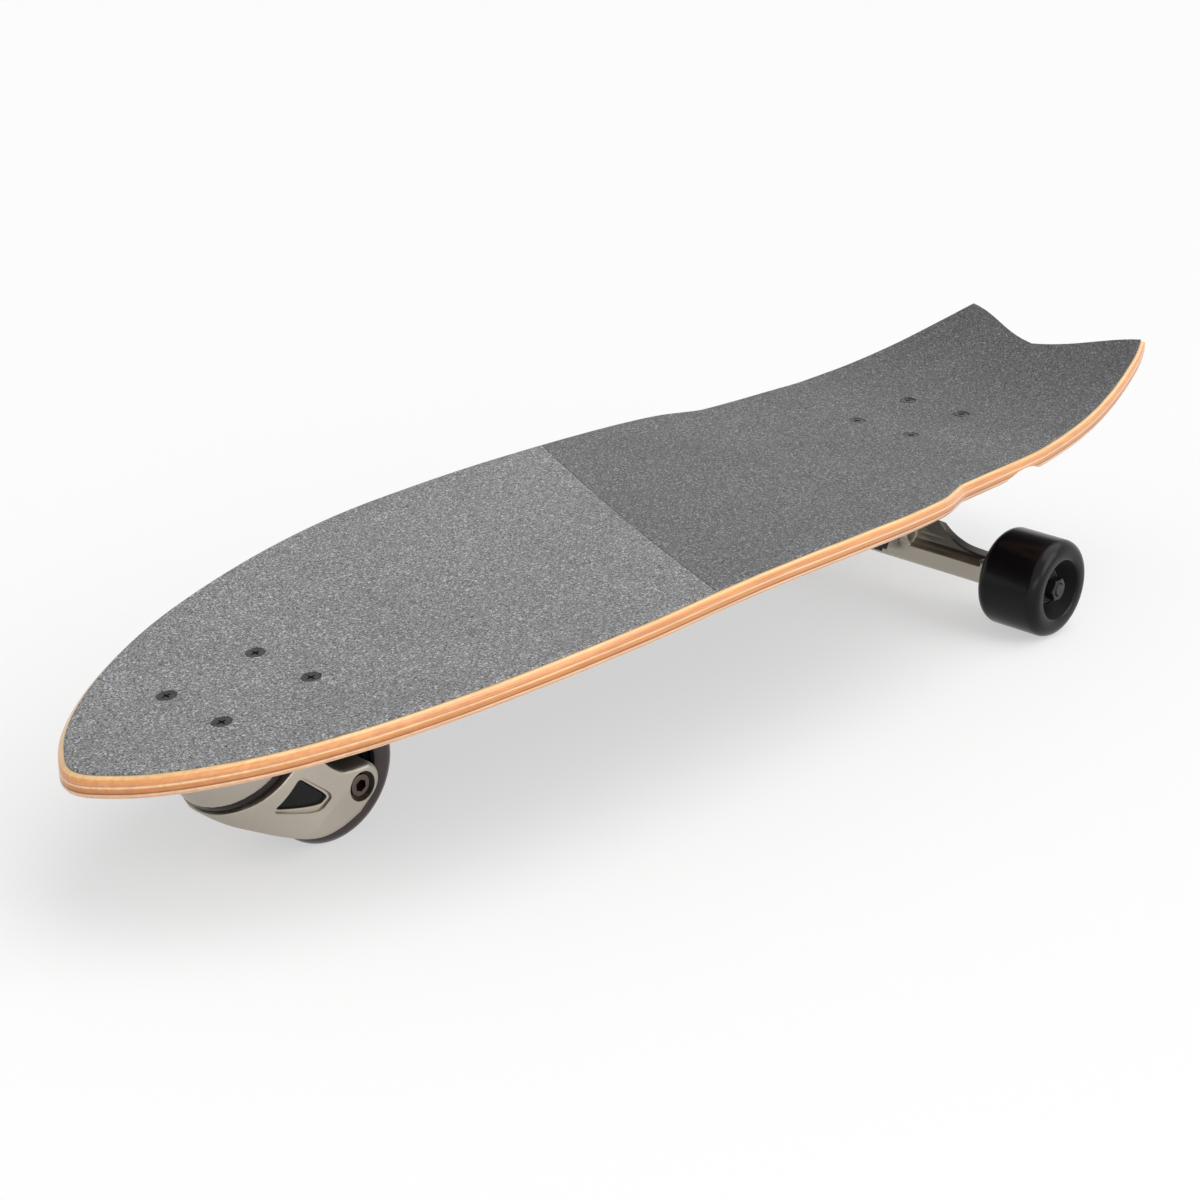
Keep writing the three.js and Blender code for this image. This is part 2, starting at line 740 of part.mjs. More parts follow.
function frontBaseBody() {
  const plateTop = -frontSlack;
  const plateLow = plateTop - frontPlateThickness;
  const outline = roundedRectangle(frontPlateLength, frontPlateWidth, frontPlateCorner);
  const plate = solid(planExtrusion(outline, plateLow, plateTop));
  const stemHeight = frontBaseHeight + frontPlateLength;
  const stem = turned([
    [0, grooveHeight],
    [ringRadius, grooveHeight],
    [ringRadius + ringFlare * stemHeight / frontPlateLength, grooveHeight + stemHeight],
    [0, grooveHeight + stemHeight],
  ], wheelSteps);
  const room = solid(block(-frontPlateLength / 2, frontPlateLength / 2 + ringFlare,
    -frontPlateLength, frontPlateLength, -frontPlateLength, plateTop));
  const socket = turned([
    [0, -overrun],
    [swivelBearingRadius + holeClearance, -overrun],
    [swivelBearingRadius + holeClearance, upperBearingHigh + clearance / 2],
    [swivelNutAcrossFlats / Math.sqrt(3) + 2 * holeClearance, upperBearingHigh + clearance / 2],
    [swivelNutAcrossFlats / Math.sqrt(3) + 2 * holeClearance, frontPlateLength],
    [0, frontPlateLength],
  ], turnedSteps);
  const body = join(plate, solid(fromSwivel(stem)).intersect(room));
  const nutRoom = nutAcrossFlats / Math.sqrt(3) + 4 * holeClearance;
  const nutSeat = plateLow + frontNutRecess;
  const nutLow = nutSeat - nutHeight - boltTail - overrun;
  const pockets = boltPlaces.map(([x, y]) => {
    const outer = Math.sign(y) * frontPlateLength;
    const [y0, y1] = [Math.min(y, outer), Math.max(y, outer)];
    const slot = solid(block(x - nutRoom, x + nutRoom, y0, y1, nutLow, plateLow));
    const end = rod(nutRoom, nutLow, nutSeat, smallSteps).translate(x, y, 0);
    return join(slot, solid(end));
  });
  const shafts = boltPlaces.map(([x, y]) => {
    const shaft = rod(boltRadius + holeClearance, nutLow, plateTop + overrun, smallSteps);
    return solid(shaft.translate(x, y, 0));
  });
  const below = rod(ringRadius + ringFlare, -frontPlateLength, grooveHeight, wheelSteps);
  return cut(body, solid(fromSwivel(below)), solid(fromSwivel(socket)), ...pockets, ...shafts);
}

addPart(frontMount, 'front_base_plate', frontBaseBody(), satinAlloy);
addFasteners(frontMount, 'front', -frontSlack - frontPlateThickness + frontNutRecess, frontRises);

function addBearing(group, name, inner, outer, width, low) {
  return addPart(group, name, solid(ring(inner, outer, low, low + width)), brightSteel);
}

const swivelInner = swivelBoltRadius + holeClearance;
addBearing(swivel, 'swivel_bearing_lower', swivelInner, swivelBearingRadius, swivelBearingWidth, lowerBearingLow);
addBearing(swivel, 'swivel_bearing_upper', swivelInner, swivelBearingRadius, swivelBearingWidth, upperBearingLow);

const sealBody = solid(ring(
  sealInnerRadius,
  ringRadius - sealRecess,
  clearance,
  grooveHeight - clearance,
  wheelSteps,
));
addPart(swivel, 'swivel_seal', sealBody, sealRubber);

function swivelBoltBody() {
  const shankHigh = swivelNutHigh + clearance;
  const body = solid(turned([
    [0, swivelHeadLow],
    [swivelBoltHeadRadius, swivelHeadLow],
    [swivelBoltRadius, swivelHeadLow + swivelBoltHeadHeight],
    [swivelBoltRadius, shankHigh],
    [0, shankHigh],
  ], turnedSteps));
  const socketTop = swivelHeadLow + swivelBoltHeadHeight / 2;
  return cut(body, solid(rod(swivelBoltRadius / 2, swivelHeadLow - overrun, socketTop, hexSides)));
}

const swivelNut = cut(
  solid(hexPrism(swivelNutAcrossFlats, swivelNutLow, swivelNutHigh)),
  solid(rod(swivelBoltRadius + holeClearance, swivelNutLow - overrun, swivelNutHigh + overrun)),
);
addPart(swivel, 'swivel_bolt', swivelBoltBody(), brightSteel);
addPart(swivel, 'swivel_nut', swivelNut, brightSteel);

// Fork.
function forkSideShape() {
  const under = scaledPoints(forkUndersideShares, axleTrail, axleDrop);
  const back = scaledPoints(forkBackShares, axleTrail, axleDrop);
  const leave = Math.atan2(back[0].y + axleDrop, back[0].x + axleTrail);
  const boss = new THREE.EllipseCurve(-axleTrail, -axleDrop, forkBossRadius, forkBossRadius,
    -Math.PI * bossStartShare, leave, true);
  return new THREE.Shape([
    new THREE.Vector2(-forkShoulderShare * axleTrail, bladeRound),
    new THREE.Vector2(ringRadius + bladeRound, bladeRound),
    ...new THREE.SplineCurve(under).getPoints(curveSteps * 2),
    ...boss.getPoints(curveSteps),
    ...new THREE.SplineCurve(back.slice(1)).getPoints(curveSteps),
  ]);
}

// Half width of the fork at a depth under its top, where it leans outwards from the swivel ring.
function forkHalfWidthAt(depth) {
  return THREE.MathUtils.lerp(ringRadius, forkHalfWidth, Math.min(depth / flareDepth, 1));
}

// Fork seen along the swivel axis: a half ring in front and straight cheeks behind it.
function forkPlanBody(depth) {
  const shape = new THREE.Shape();
  shape.moveTo(-depth, -ringRadius);
  shape.lineTo(0, -ringRadius);
  shape.absarc(0, 0, ringRadius, -Math.PI / 2, Math.PI / 2);
  shape.lineTo(-depth, ringRadius);
  const levels = { depth, bevelEnabled: false, curveSegments: ringSteps, steps: flareLevels };
  const body = new THREE.ExtrudeGeometry(shape, levels).translate(0, 0, -depth);
  const places = body.getAttribute('position');
  for (let i = 0; i < places.count; i += 1) {
    const growth = forkHalfWidthAt(-places.getZ(i)) / ringRadius;
    places.setX(i, places.getX(i) * (places.getX(i) > 0 ? growth : 1));
    places.setY(i, places.getY(i) * growth);
  }
  return solid(body);
}

function windowShape(grow) {
  const corners = scaledPoints(windowShares, axleTrail, axleDrop);
  const middle = corners.reduce((sum, corner) => sum.add(corner), new THREE.Vector2());
  middle.multiplyScalar(1 / corners.length);
  const grown = corners.map((corner) => {
    const away = corner.clone().sub(middle);
    return middle.clone().add(away.setLength(away.length() + grow));
  });
  const shape = new THREE.Shape();
  grown.forEach((corner, i) => {
    const before = grown[(i + grown.length - 1) % grown.length];
    const after = grown[(i + 1) % grown.length];
    const start = corner.clone().lerp(before, windowCornerShare / 2);
    const end = corner.clone().lerp(after, windowCornerShare / 2);
    if (i === 0) shape.moveTo(start.x, start.y);
    else shape.lineTo(start.x, start.y);
    shape.quadraticCurveTo(corner.x, corner.y, end.x, end.y);
  });
  shape.closePath();
  return shape;
}

function acrossFork(shape, side, fromY, toY) {
  return side > 0 ? sideExtrusion(shape, fromY, toY) : sideExtrusion(shape, -toY, -fromY);
}

function atFrontAxle(geometry) {
  return alongY(geometry).translate(-axleTrail, 0, -axleDrop);
}

function forkBody() {
  const depth = axleDrop + forkBossRadius * 2;
  const side = solid(sideExtrusion(forkSideShape(), -forkHalfWidth, forkHalfWidth, bladeRound));
  const cheeks = forkPlanBody(depth).subtract(solid(rod(depth * 2, -crownHeight, overrun)));
  const crownLow = -crownHeight - clearance;
  const crown = turned([
    [0, crownLow],
    [forkHalfWidthAt(-crownLow), crownLow],
    [ringRadius, 0],
    [0, 0],
  ], wheelSteps);
  const plan = join(cheeks, solid(crown));
  const cavityRadius = frontWheelRadius + wheelCavityClearance;
  const cavity = solid(atFrontAxle(rod(cavityRadius, -bladeInnerHalf, bladeInnerHalf, wheelSteps)));
  const bearingFace = bearingSpacerLength / 2 + bearingWidth + 2 * clearance;
  const bosses = [1, -1].map((hand) => {
    const [from, to] = [hand * bearingFace, hand * (bladeInnerHalf + overrun)];
    const boss = rod(wheelHubBossRadius, Math.min(from, to), Math.max(from, to));
    return solid(atFrontAxle(boss));
  });
  const hub = solid(rod(hubRadius, -overrun / 4, hubHeight));
  const shell = join(side.intersect(plan).subtract(cavity), ...bosses, hub);
  const axleBore = solid(atFrontAxle(rod(axleRadius + holeClearance, -forkHalfWidth * 2, forkHalfWidth * 2)));
  const floor = forkHalfWidth - counterboreDepth;
  const counterbores = [1, -1].map((hand) => {
    const [from, to] = [hand * floor, hand * forkHalfWidth * 2];
    const bore = rod(counterboreRadius, Math.min(from, to), Math.max(from, to));
    return solid(atFrontAxle(bore));
  });
  const headRoom = turned([
    [0, -depth],
    [swivelBoltHeadRadius + 2 * clearance, -depth],
    [swivelBoltHeadRadius + 2 * clearance, swivelHeadLow],
    [swivelBoltRadius + 2 * clearance, swivelHeadLow + swivelBoltHeadHeight],
    [swivelBoltRadius + 2 * clearance, hubHeight + overrun],
    [0, hubHeight + overrun],
  ], turnedSteps);
  const windows = [1, -1].map((hand) => (
    solid(acrossFork(windowShape(0), hand, forkHalfWidth - windowDepth, forkHalfWidth * 2))
  ));
  return cut(shell, axleBore, ...counterbores, solid(headRoom), ...windows);
}

addPart(swivel, 'swivel_fork', forkBody(), satinAlloy);

for (const [hand, label] of [[1, 'left'], [-1, 'right']]) {
  const floor = forkHalfWidth - windowDepth;
  const insert = acrossFork(windowShape(-windowRim), hand, floor + clearance, floor + clearance + insertThickness);
  addPart(swivel, `fork_window_${label}`, solid(insert), blackPlastic);
}

// Front axle bolt, whose head and far nut sit in the counterbores.
function axleHead(low, high, socketEnd) {
  const head = solid(rod(axleBoltHeadRadius, low, high));
  const [from, to] = socketEnd > 0
    ? [high - axleBoltSocketDepth, high + overrun]
    : [low - overrun, low + axleBoltSocketDepth];
  return cut(head, solid(rod(axleBoltSocketRadius, from, to, hexSides)));
}

const headSeat = forkHalfWidth - counterboreDepth + clearance;
const sleeveEnd = bladeInnerHalf - clearance;
const axleShank = solid(rod(axleRadius, -sleeveEnd, headSeat + clearance));
const axleBolt = join(axleShank, axleHead(headSeat, headSeat + axleBoltHeadHeight, 1));
const sleeveNut = join(
  axleHead(-headSeat - axleBoltHeadHeight, -headSeat, -1),
  solid(rod(axleRadius, -headSeat - clearance, -sleeveEnd - clearance)),
);
const frontAxle = addGroup(swivel, -axleTrail, 0, -axleDrop);
const frontAxleTurn = new THREE.Euler(-Math.PI / 2, 0, 0);
for (const [name, body] of [['front_axle_bolt', axleBolt], ['front_axle_sleeve_nut', sleeveNut]]) {
  addPart(frontAxle, name, body, brightSteel).rotation.copy(frontAxleTurn);
}

// Wheels are turned about their own axle, with the wheel's middle at height 0.
function tyreProfile(radius, width, bowl, bore) {
  const half = width / 2;
  const lip = [];
  for (let step = 0; step <= roundSteps + 1; step += 1) {
    const angle = step / (roundSteps + 1) * Math.PI / 2;
    const [reach, out] = [radius - wheelLip + wheelLip * Math.cos(angle), half - wheelLip + wheelLip * Math.sin(angle)];
    lip.push([reach, out]);
  }
  const seat = bearingSpacerLength / 2 + bearingWidth + clearance;
  const upper = [
    ...lip,
    [bowl, half - clearance],
    [Math.max(bore + clearance * 4, bowl - bowlDepth), seat],
    [bore, seat],
  ];
  const lower = upper.map(([reach, out]) => [reach, -out]).reverse();
  return [...lower, ...upper, lower[0]];
}

function addWheel(group, label, radius, width, bowl, material, bore) {
  const tyre = solid(turned(tyreProfile(radius, width, bowl, bore), wheelSteps));
  addPart(group, `${label}_tyre`, tyre, material);
  const innerHigh = bearingSpacerLength / 2;
  const spacerHalf = innerHigh - clearance;
  const spacer = ring(bearingInnerRadius, bearingSpacerRadius, -spacerHalf, spacerHalf);
  addPart(group, `${label}_bearing_spacer`, solid(spacer), brightSteel);
  const far = -innerHigh - bearingWidth;
  addBearing(group, `${label}_bearing_inner`, bearingInnerRadius, bearingOuterRadius, bearingWidth, far);
  addBearing(group, `${label}_bearing_outer`, bearingInnerRadius, bearingOuterRadius, bearingWidth, innerHigh);
}

function wheelGroup(parent, x, y, z, hand) {
  const group = addGroup(parent, x, y, z);
  group.rotation.x = -hand * Math.PI / 2;
  return group;
}

const frontWheel = wheelGroup(swivel, -axleTrail, 0, -axleDrop, 1);
addWheel(frontWheel, 'front_wheel', frontWheelRadius, frontWheelWidth, frontBowlRadius, smokeUrethane,
  coreRadius + clearance);
const coreHalf = bearingSpacerLength / 2 + bearingWidth;
const seatStep = bearingSpacerLength / 2 - clearance;
const core = turned([
  [bearingOuterRadius - 2, -seatStep],
  [bearingOuterRadius + clearance, -seatStep],
  [bearingOuterRadius + clearance, -coreHalf],
  [coreRadius, -coreHalf],
  [coreRadius, coreHalf],
  [bearingOuterRadius + clearance, coreHalf],
  [bearingOuterRadius + clearance, seatStep],
  [bearingOuterRadius - 2, seatStep],
  [bearingOuterRadius - 2, -seatStep],
], wheelSteps);
addPart(frontWheel, 'front_wheel_core', solid(core), blackPlastic);

// Rear truck, in the level frame of the rear mount.
const risers = roundedRectangle(rearPlateLength + 2 * riserMargin, rearPlateWidth + 2 * riserMargin,
  rearPlateCorner + riserMargin);
const riserLow = -riserThickness + clearance;
const riserHoles = boltPlaces.map(([x, y]) => {
  const shaft = rod(boltRadius + holeClearance, riserLow - overrun, overrun, smallSteps);
  return solid(shaft.translate(x, y, 0));
});
const riserBlank = solid(planExtrusion(risers, riserLow, riserThickness));
const deckSide = block(-rearPlateLength, rearPlateLength, -rearPlateWidth, rearPlateWidth, -rearSlack, riserThickness * 2);
const riserBody = cut(riserBlank, solid(deckSide.rotateY(rearPitch)), ...riserHoles);
addPart(rearMount, 'riser_pad', riserBody, blackPlastic);

const plateTop = -riserThickness;
const plateLow = plateTop - rearPlateThickness;
const seatX = ringSeatForward;
const seatZ = plateTop - ringSeatDrop;
const pivotX = -pivotBack;
const pivotZ = plateTop - pivotDrop;
const axleX = axleForward;
const axleZ = plateTop - truckHeight;

// Moves a shape made about Z, with its middle at the hanger ring, onto the leaning kingpin.
function onKingpin(geometry) {
  return geometry.rotateY(-kingpinAngle).translate(seatX, 0, seatZ);
}

// The pivot stem leaves the hanger above the axle and points at the pivot cup.
const stemRoot = new THREE.Vector2(axleX - hangerHalfDepth / 2, axleZ + hangerHalfHeight);
const stemRun = new THREE.Vector2(pivotX - stemRoot.x, pivotZ - stemRoot.y);
const stemLength = stemRun.length();
const stemTilt = Math.atan2(stemRun.x, stemRun.y);

function onPivot(geometry) {
  return geometry.rotateY(stemTilt).translate(pivotX, 0, pivotZ);
}

// Heights along the kingpin over the middle of the hanger ring.
const upperBushingLow = ringThickness / 2 + clearance;
const upperBushingHigh = upperBushingLow + upperBushingHeight;
const upperWasherLow = upperBushingHigh + clearance;
const upperWasherHigh = upperWasherLow + cupWasherThickness;
const bossSeat = upperWasherHigh + clearance;
const lowerBushingHigh = -ringThickness / 2 - clearance;
const lowerBushingLow = lowerBushingHigh - lowerBushingHeight;
const lowerWasherHigh = lowerBushingLow - clearance;
const lowerWasherLow = lowerWasherHigh - cupWasherThickness;
const kingpinNutHigh = lowerWasherLow - clearance;
const kingpinNutLow = kingpinNutHigh - kingpinNutHeight;
const kingpinEnd = kingpinNutLow - kingpinTail;
const headLow = bossSeat + (ringSeatDrop / Math.cos(kingpinAngle) - bossSeat) / 2;

function rearBaseBody() {
  const outline = roundedRectangle(rearPlateLength, rearPlateWidth, rearPlateCorner);
  const plate = solid(planExtrusion(outline, plateLow, plateTop));
  const seatBoss = solid(onKingpin(rod(seatBossRadius, bossSeat, ringSeatDrop * 2)));
  const pivotBoss = solid(onPivot(rod(pivotBossRadius, -pivotCupDepth / 2, pivotDrop * 2)));
  const under = solid(block(-rearPlateLength, rearPlateLength, -rearPlateWidth, rearPlateWidth,
    plateTop - truckHeight, plateTop));
  const rib = solid(block(pivotX, seatX / 2, -seatBossRadius / 3, seatBossRadius / 3,
    pivotZ + pivotBallRadius, plateTop - rearPlateThickness / 2));
  const body = join(plate, seatBoss.intersect(under), pivotBoss.intersect(under), rib);
  const cupRoom = solid(onPivot(rod(pivotCupRadius + clearance, -pivotCupDepth - overrun, pivotCupDepth / 2 + 2 * clearance)));
  const pinRoom = solid(onKingpin(rod(kingpinRadius + holeClearance, -ringSeatDrop, ringSeatDrop * 2)));
  const headRoom = solid(onKingpin(rod(kingpinHeadRadius + 2 * clearance, headLow - clearance, ringSeatDrop * 2)));
  const shafts = boltPlaces.map(([x, y]) => {
    const shaft = rod(boltRadius + holeClearance, plateLow - overrun, plateTop + overrun, smallSteps);
    return solid(shaft.translate(x, y, 0));
  });
  return cut(body, cupRoom, pinRoom, headRoom, ...shafts);
}

addPart(rearMount, 'rear_base_plate', rearBaseBody(), satinAlloy);
addFasteners(rearMount, 'rear', plateLow, rearRises);

// Quarter of a ball's outline, from its widest point to its top.
function ballOutline(radius) {
  const steps = curveSteps - 1;
  const angles = Array.from({ length: steps + 1 }, (_, step) => step / steps * Math.PI / 2);
  return angles.map((angle) => [radius * Math.cos(angle), radius * Math.sin(angle)]);
}

const cupHalf = pivotCupDepth / 2;
const cupBall = pivotBallRadius + clearance;
const cupBody = solid(onPivot(turned([
  ...ballOutline(cupBall).reverse(),
  [pivotMouthRadius, -cupHalf],
  [pivotCupRadius, -cupHalf],
  [pivotCupRadius, cupHalf + clearance],
  [0, cupHalf + clearance],
], turnedSteps)));
addPart(rearMount, 'pivot_cup', cupBody, bushingUrethane);

const kingpinBody = join(
  solid(onKingpin(rod(kingpinRadius, kingpinEnd, headLow + clearance))),
  solid(onKingpin(hexPrism(kingpinHeadRadius * Math.sqrt(3), headLow, headLow + kingpinHeadHeight))),
);
addPart(rearMount, 'kingpin', kingpinBody, blackSteel);

function onPinRing(outerLow, outerHigh, low, high) {
  const bore = kingpinRadius + holeClearance;
  return solid(onKingpin(turned([
    [bore, low],
    [outerLow, low],
    [outerHigh, high],
    [bore, high],
    [bore, low],
  ], turnedSteps)));
}

const kingpinNutBody = cut(
  solid(onKingpin(hexPrism(kingpinNutAcrossFlats, kingpinNutLow, kingpinNutHigh))),
  solid(onKingpin(rod(kingpinRadius + holeClearance, kingpinNutLow - overrun, kingpinNutHigh + overrun))),
);
addPart(rearMount, 'kingpin_nut', kingpinNutBody, blackSteel);
addPart(rearMount, 'bushing_upper', onPinRing(bushingRadius, bushingRadius, upperBushingLow, upperBushingHigh), bushingUrethane);
addPart(rearMount, 'bushing_lower', onPinRing(bushingTipRadius, bushingRadius, lowerBushingLow, lowerBushingHigh), bushingUrethane);
addPart(rearMount, 'cup_washer_upper', onPinRing(cupWasherRadius, cupWasherRadius, upperWasherLow, upperWasherHigh), blackSteel);
addPart(rearMount, 'cup_washer_lower', onPinRing(tipWasherRadius, tipWasherRadius, lowerWasherLow, lowerWasherHigh), blackSteel);

// Hanger, cut from a front view and a side view, with the ring and the pivot stem joined on.
function hangerFrontShape() {
  const shape = new THREE.Shape();
  const wing = seatZ - axleZ - hangerHalfHeight;
  const rise = wingShares.map(([run, height]) => (
    new THREE.Vector2(run * hangerHalfWidth, axleZ + hangerHalfHeight + height * wing)
  ));
  const mirrored = rise.map((point) => new THREE.Vector2(-point.x, point.y)).reverse();
  shape.moveTo(-hangerHalfWidth, axleZ - hangerHalfHeight);
  shape.lineTo(hangerHalfWidth, axleZ - hangerHalfHeight);
  shape.lineTo(hangerHalfWidth, axleZ + hangerHalfHeight);
  shape.splineThru(rise);
  shape.lineTo(rise.at(-1).x / 2, axleZ + truckHeight);
  shape.lineTo(-rise.at(-1).x / 2, axleZ + truckHeight);
  shape.lineTo(mirrored[0].x, mirrored[0].y);
  shape.splineThru(mirrored.slice(1));
  shape.lineTo(-hangerHalfWidth, axleZ + hangerHalfHeight);
  return shape;
}

function hangerSideShape() {
  const shape = new THREE.Shape();
  const [lean, level] = [Math.cos(kingpinAngle), Math.sin(kingpinAngle)];
  const front = ringOuterRadius - ringThickness / 4;
  const top = ringThickness / 2;
  const onRing = (along, up) => [
    seatX + along * lean - up * level,
    seatZ + along * level + up * lean,
  ];
  shape.moveTo(axleX - hangerFacetHalf, axleZ - hangerHalfHeight);
  shape.lineTo(axleX + hangerFacetHalf, axleZ - hangerHalfHeight);
  shape.lineTo(axleX + hangerHalfDepth, axleZ - hangerFacetHalf);
  shape.lineTo(axleX + hangerHalfDepth, axleZ + hangerFacetHalf);
  shape.lineTo(...onRing(front, -top));
  shape.lineTo(...onRing(front, top));
  shape.lineTo(...onRing(-front, top));
  shape.lineTo(axleX - hangerFacetHalf, axleZ + hangerHalfHeight);
  shape.lineTo(axleX - hangerHalfDepth, axleZ + hangerFacetHalf);
  shape.lineTo(axleX - hangerHalfDepth, axleZ - hangerFacetHalf);
  return shape;
}

function hangerBody() {
  const front = planExtrusion(hangerFrontShape(), -truckHeight, truckHeight);
  front.rotateX(Math.PI / 2).rotateZ(Math.PI / 2);
  const side = sideExtrusion(hangerSideShape(), -hangerHalfWidth * 2, hangerHalfWidth * 2);
  const ringBlank = solid(onKingpin(rod(ringOuterRadius, -ringThickness / 2, ringThickness / 2, wheelSteps)));
  const stem = solid(onPivot(turned([
    [0, -stemLength],
    [pivotStemRadius, -stemLength],
    [pivotBallRadius, -pivotCupDepth],
    ...ballOutline(pivotBallRadius),
  ], turnedSteps)));
  const taperFrom = hangerHalfWidth - hangerEndLength;
  const envelope = alongY(turned([
    [0, -hangerHalfWidth],
    [hangerEndRadius, -hangerHalfWidth],
    [hangerEndRadius, -taperFrom],
    [hangerEndRadius + taperFrom, 0],
    [hangerEndRadius, taperFrom],
    [hangerEndRadius, hangerHalfWidth],
    [0, hangerHalfWidth],
  ], turnedSteps));
  const wings = solid(front).intersect(solid(side)).intersect(solid(envelope.translate(axleX, 0, axleZ)));
  const blank = join(wings, ringBlank, stem);
  const bore = solid(onKingpin(rod(ringBoreRadius, -ringSeatDrop, ringSeatDrop)));
  const below = solid(onKingpin(rod(scoopRadius, kingpinEnd - overrun * 2, -ringThickness / 2)));
  const above = solid(onKingpin(rod(scoopRadius, ringThickness / 2, bossSeat + overrun)));
  const axleBore = rod(axleRadius + holeClearance, -hangerHalfWidth * 2, hangerHalfWidth * 2);
  return cut(blank, bore, below, above, solid(alongY(axleBore).translate(axleX, 0, axleZ)));
}

addPart(rearMount, 'rear_hanger', hangerBody(), satinAlloy);

// Places along the rear axle, from the middle outwards.
const innerWasherNear = hangerHalfWidth + clearance;
const wheelInner = innerWasherNear + speedWasherThickness + clearance;
const stackHalf = bearingWidth + bearingSpacerLength / 2;
const wheelMiddle = wheelInner + stackHalf;
const outerWasherNear = wheelMiddle + stackHalf + clearance;
const nutNear = outerWasherNear + speedWasherThickness + clearance;
const nutFar = nutNear + axleNutHeight;
const axleEnd = nutFar + axleTip;

const rearAxle = addGroup(rearMount, axleX, 0, axleZ);
addPart(rearAxle, 'rear_axle', solid(alongY(rod(axleRadius, -axleEnd, axleEnd))), brightSteel);

for (const [hand, label] of [[1, 'left'], [-1, 'right']]) {
  const stack = wheelGroup(rearAxle, 0, 0, 0, hand);
  const bore = axleRadius + holeClearance;
  for (const [place, near] of [['inner', innerWasherNear], ['outer', outerWasherNear]]) {
    const washer = ring(bore, speedWasherRadius, near, near + speedWasherThickness, smallSteps);
    addPart(stack, `speed_washer_${label}_${place}`, solid(washer), brightSteel);
  }
  const nut = cut(
    solid(hexPrism(axleNutAcrossFlats, nutNear, nutFar)),
    solid(rod(bore, nutNear - overrun, nutFar + overrun, smallSteps)),
  );
  addPart(stack, `axle_nut_${label}`, nut, blackSteel);
  const wheel = wheelGroup(rearAxle, 0, hand * wheelMiddle, 0, hand);
  addWheel(wheel, `rear_wheel_${label}`, rearWheelRadius, rearWheelWidth, rearBowlRadius, blackUrethane,
    bearingOuterRadius + clearance);
}

export default board;
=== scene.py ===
import json
import math

import bmesh
import bpy
from mathutils import Matrix, Vector


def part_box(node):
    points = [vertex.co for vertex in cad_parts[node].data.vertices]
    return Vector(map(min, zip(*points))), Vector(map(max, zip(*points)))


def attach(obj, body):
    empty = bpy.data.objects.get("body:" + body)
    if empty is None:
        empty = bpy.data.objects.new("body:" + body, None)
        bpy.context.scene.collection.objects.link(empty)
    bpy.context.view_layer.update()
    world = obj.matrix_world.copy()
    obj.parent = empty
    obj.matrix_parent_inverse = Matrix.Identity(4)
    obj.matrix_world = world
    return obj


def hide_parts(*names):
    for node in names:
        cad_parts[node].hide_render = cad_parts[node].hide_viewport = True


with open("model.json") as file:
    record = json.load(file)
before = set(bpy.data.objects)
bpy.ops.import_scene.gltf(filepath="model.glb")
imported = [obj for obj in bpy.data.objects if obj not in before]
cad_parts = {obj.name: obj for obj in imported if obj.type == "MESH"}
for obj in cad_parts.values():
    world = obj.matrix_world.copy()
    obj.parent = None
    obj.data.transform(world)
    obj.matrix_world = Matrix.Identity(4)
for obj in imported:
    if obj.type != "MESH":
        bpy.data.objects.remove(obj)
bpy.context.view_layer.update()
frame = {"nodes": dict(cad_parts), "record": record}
nodes = frame["nodes"]
scene = bpy.context.scene
scene.view_settings.view_transform = "Standard"

MM = 0.001
# How far a cutter stands out of what it cuts, in millimetres.
OVERRUN = 4

# The camera stands where the photograph was taken from. Its place is in metres.
CAMERA_PLACE = (0.9089, 0.7868, 0.5256)
CAMERA_RIGHT = (-0.6815, 0.7316, 0.0199)
CAMERA_UP = (-0.2559, -0.2637, 0.93)
CAMERA_BACK = (0.6856, 0.6287, 0.367)
FOCAL_MM = 68.25
SENSOR_MM = 36

# The trucks and wheels, in millimetres.
REAR_WHEEL_RADIUS = 30.5
HALF_TRACK = 101.6
TRUCK_HEIGHT = 55
AXLE_FORWARD = 4.4
RISER_THICKNESS = 13.3
REAR_PLATE_THICKNESS = 5.5
PLATE_LENGTH, PLATE_WIDTH, PLATE_CORNER, PLATE_THICKNESS = 88, 62, 11, 5
FRONT_NUT_SINK = 2
PLATE_GAP = 0.3
SWIVEL_X, SWIVEL_Z = 303.5, 56.54388
TILT = math.radians(35)
TRAIL, DROP = 26.4, 42.1
FORK_HALF, WINDOW_FLOOR = 37, 29
CROWN_RADIUS = 32
HANGER_HALF = 88

# Axles, bearings, bolts and nuts, in millimetres. A hole is given by its radius.
AXLE_RADIUS, AXLE_HOLE, AXLE_NUT_FLATS = 4, 4.35, 12.6
BEARING_RADIUS, BEARING_WIDTH, BEARING_SEAT = 11, 7, 11.3
CORE_HALF = 12
SWIVEL_BOLT_HOLE = 5.35
BOLT_RADIUS, BOLT_HOLE, BOLT_HEAD_RADIUS = 2.4, 2.75, 4.75
HEAD_SINK = 0.2
THREAD_LENGTH, THREAD_PITCH = 12, 0.8
NUT_FLATS, NUT_HEIGHT, NUT_GAP = 9.4, 4.8, 0.3
BOLT_TAIL = 0.6

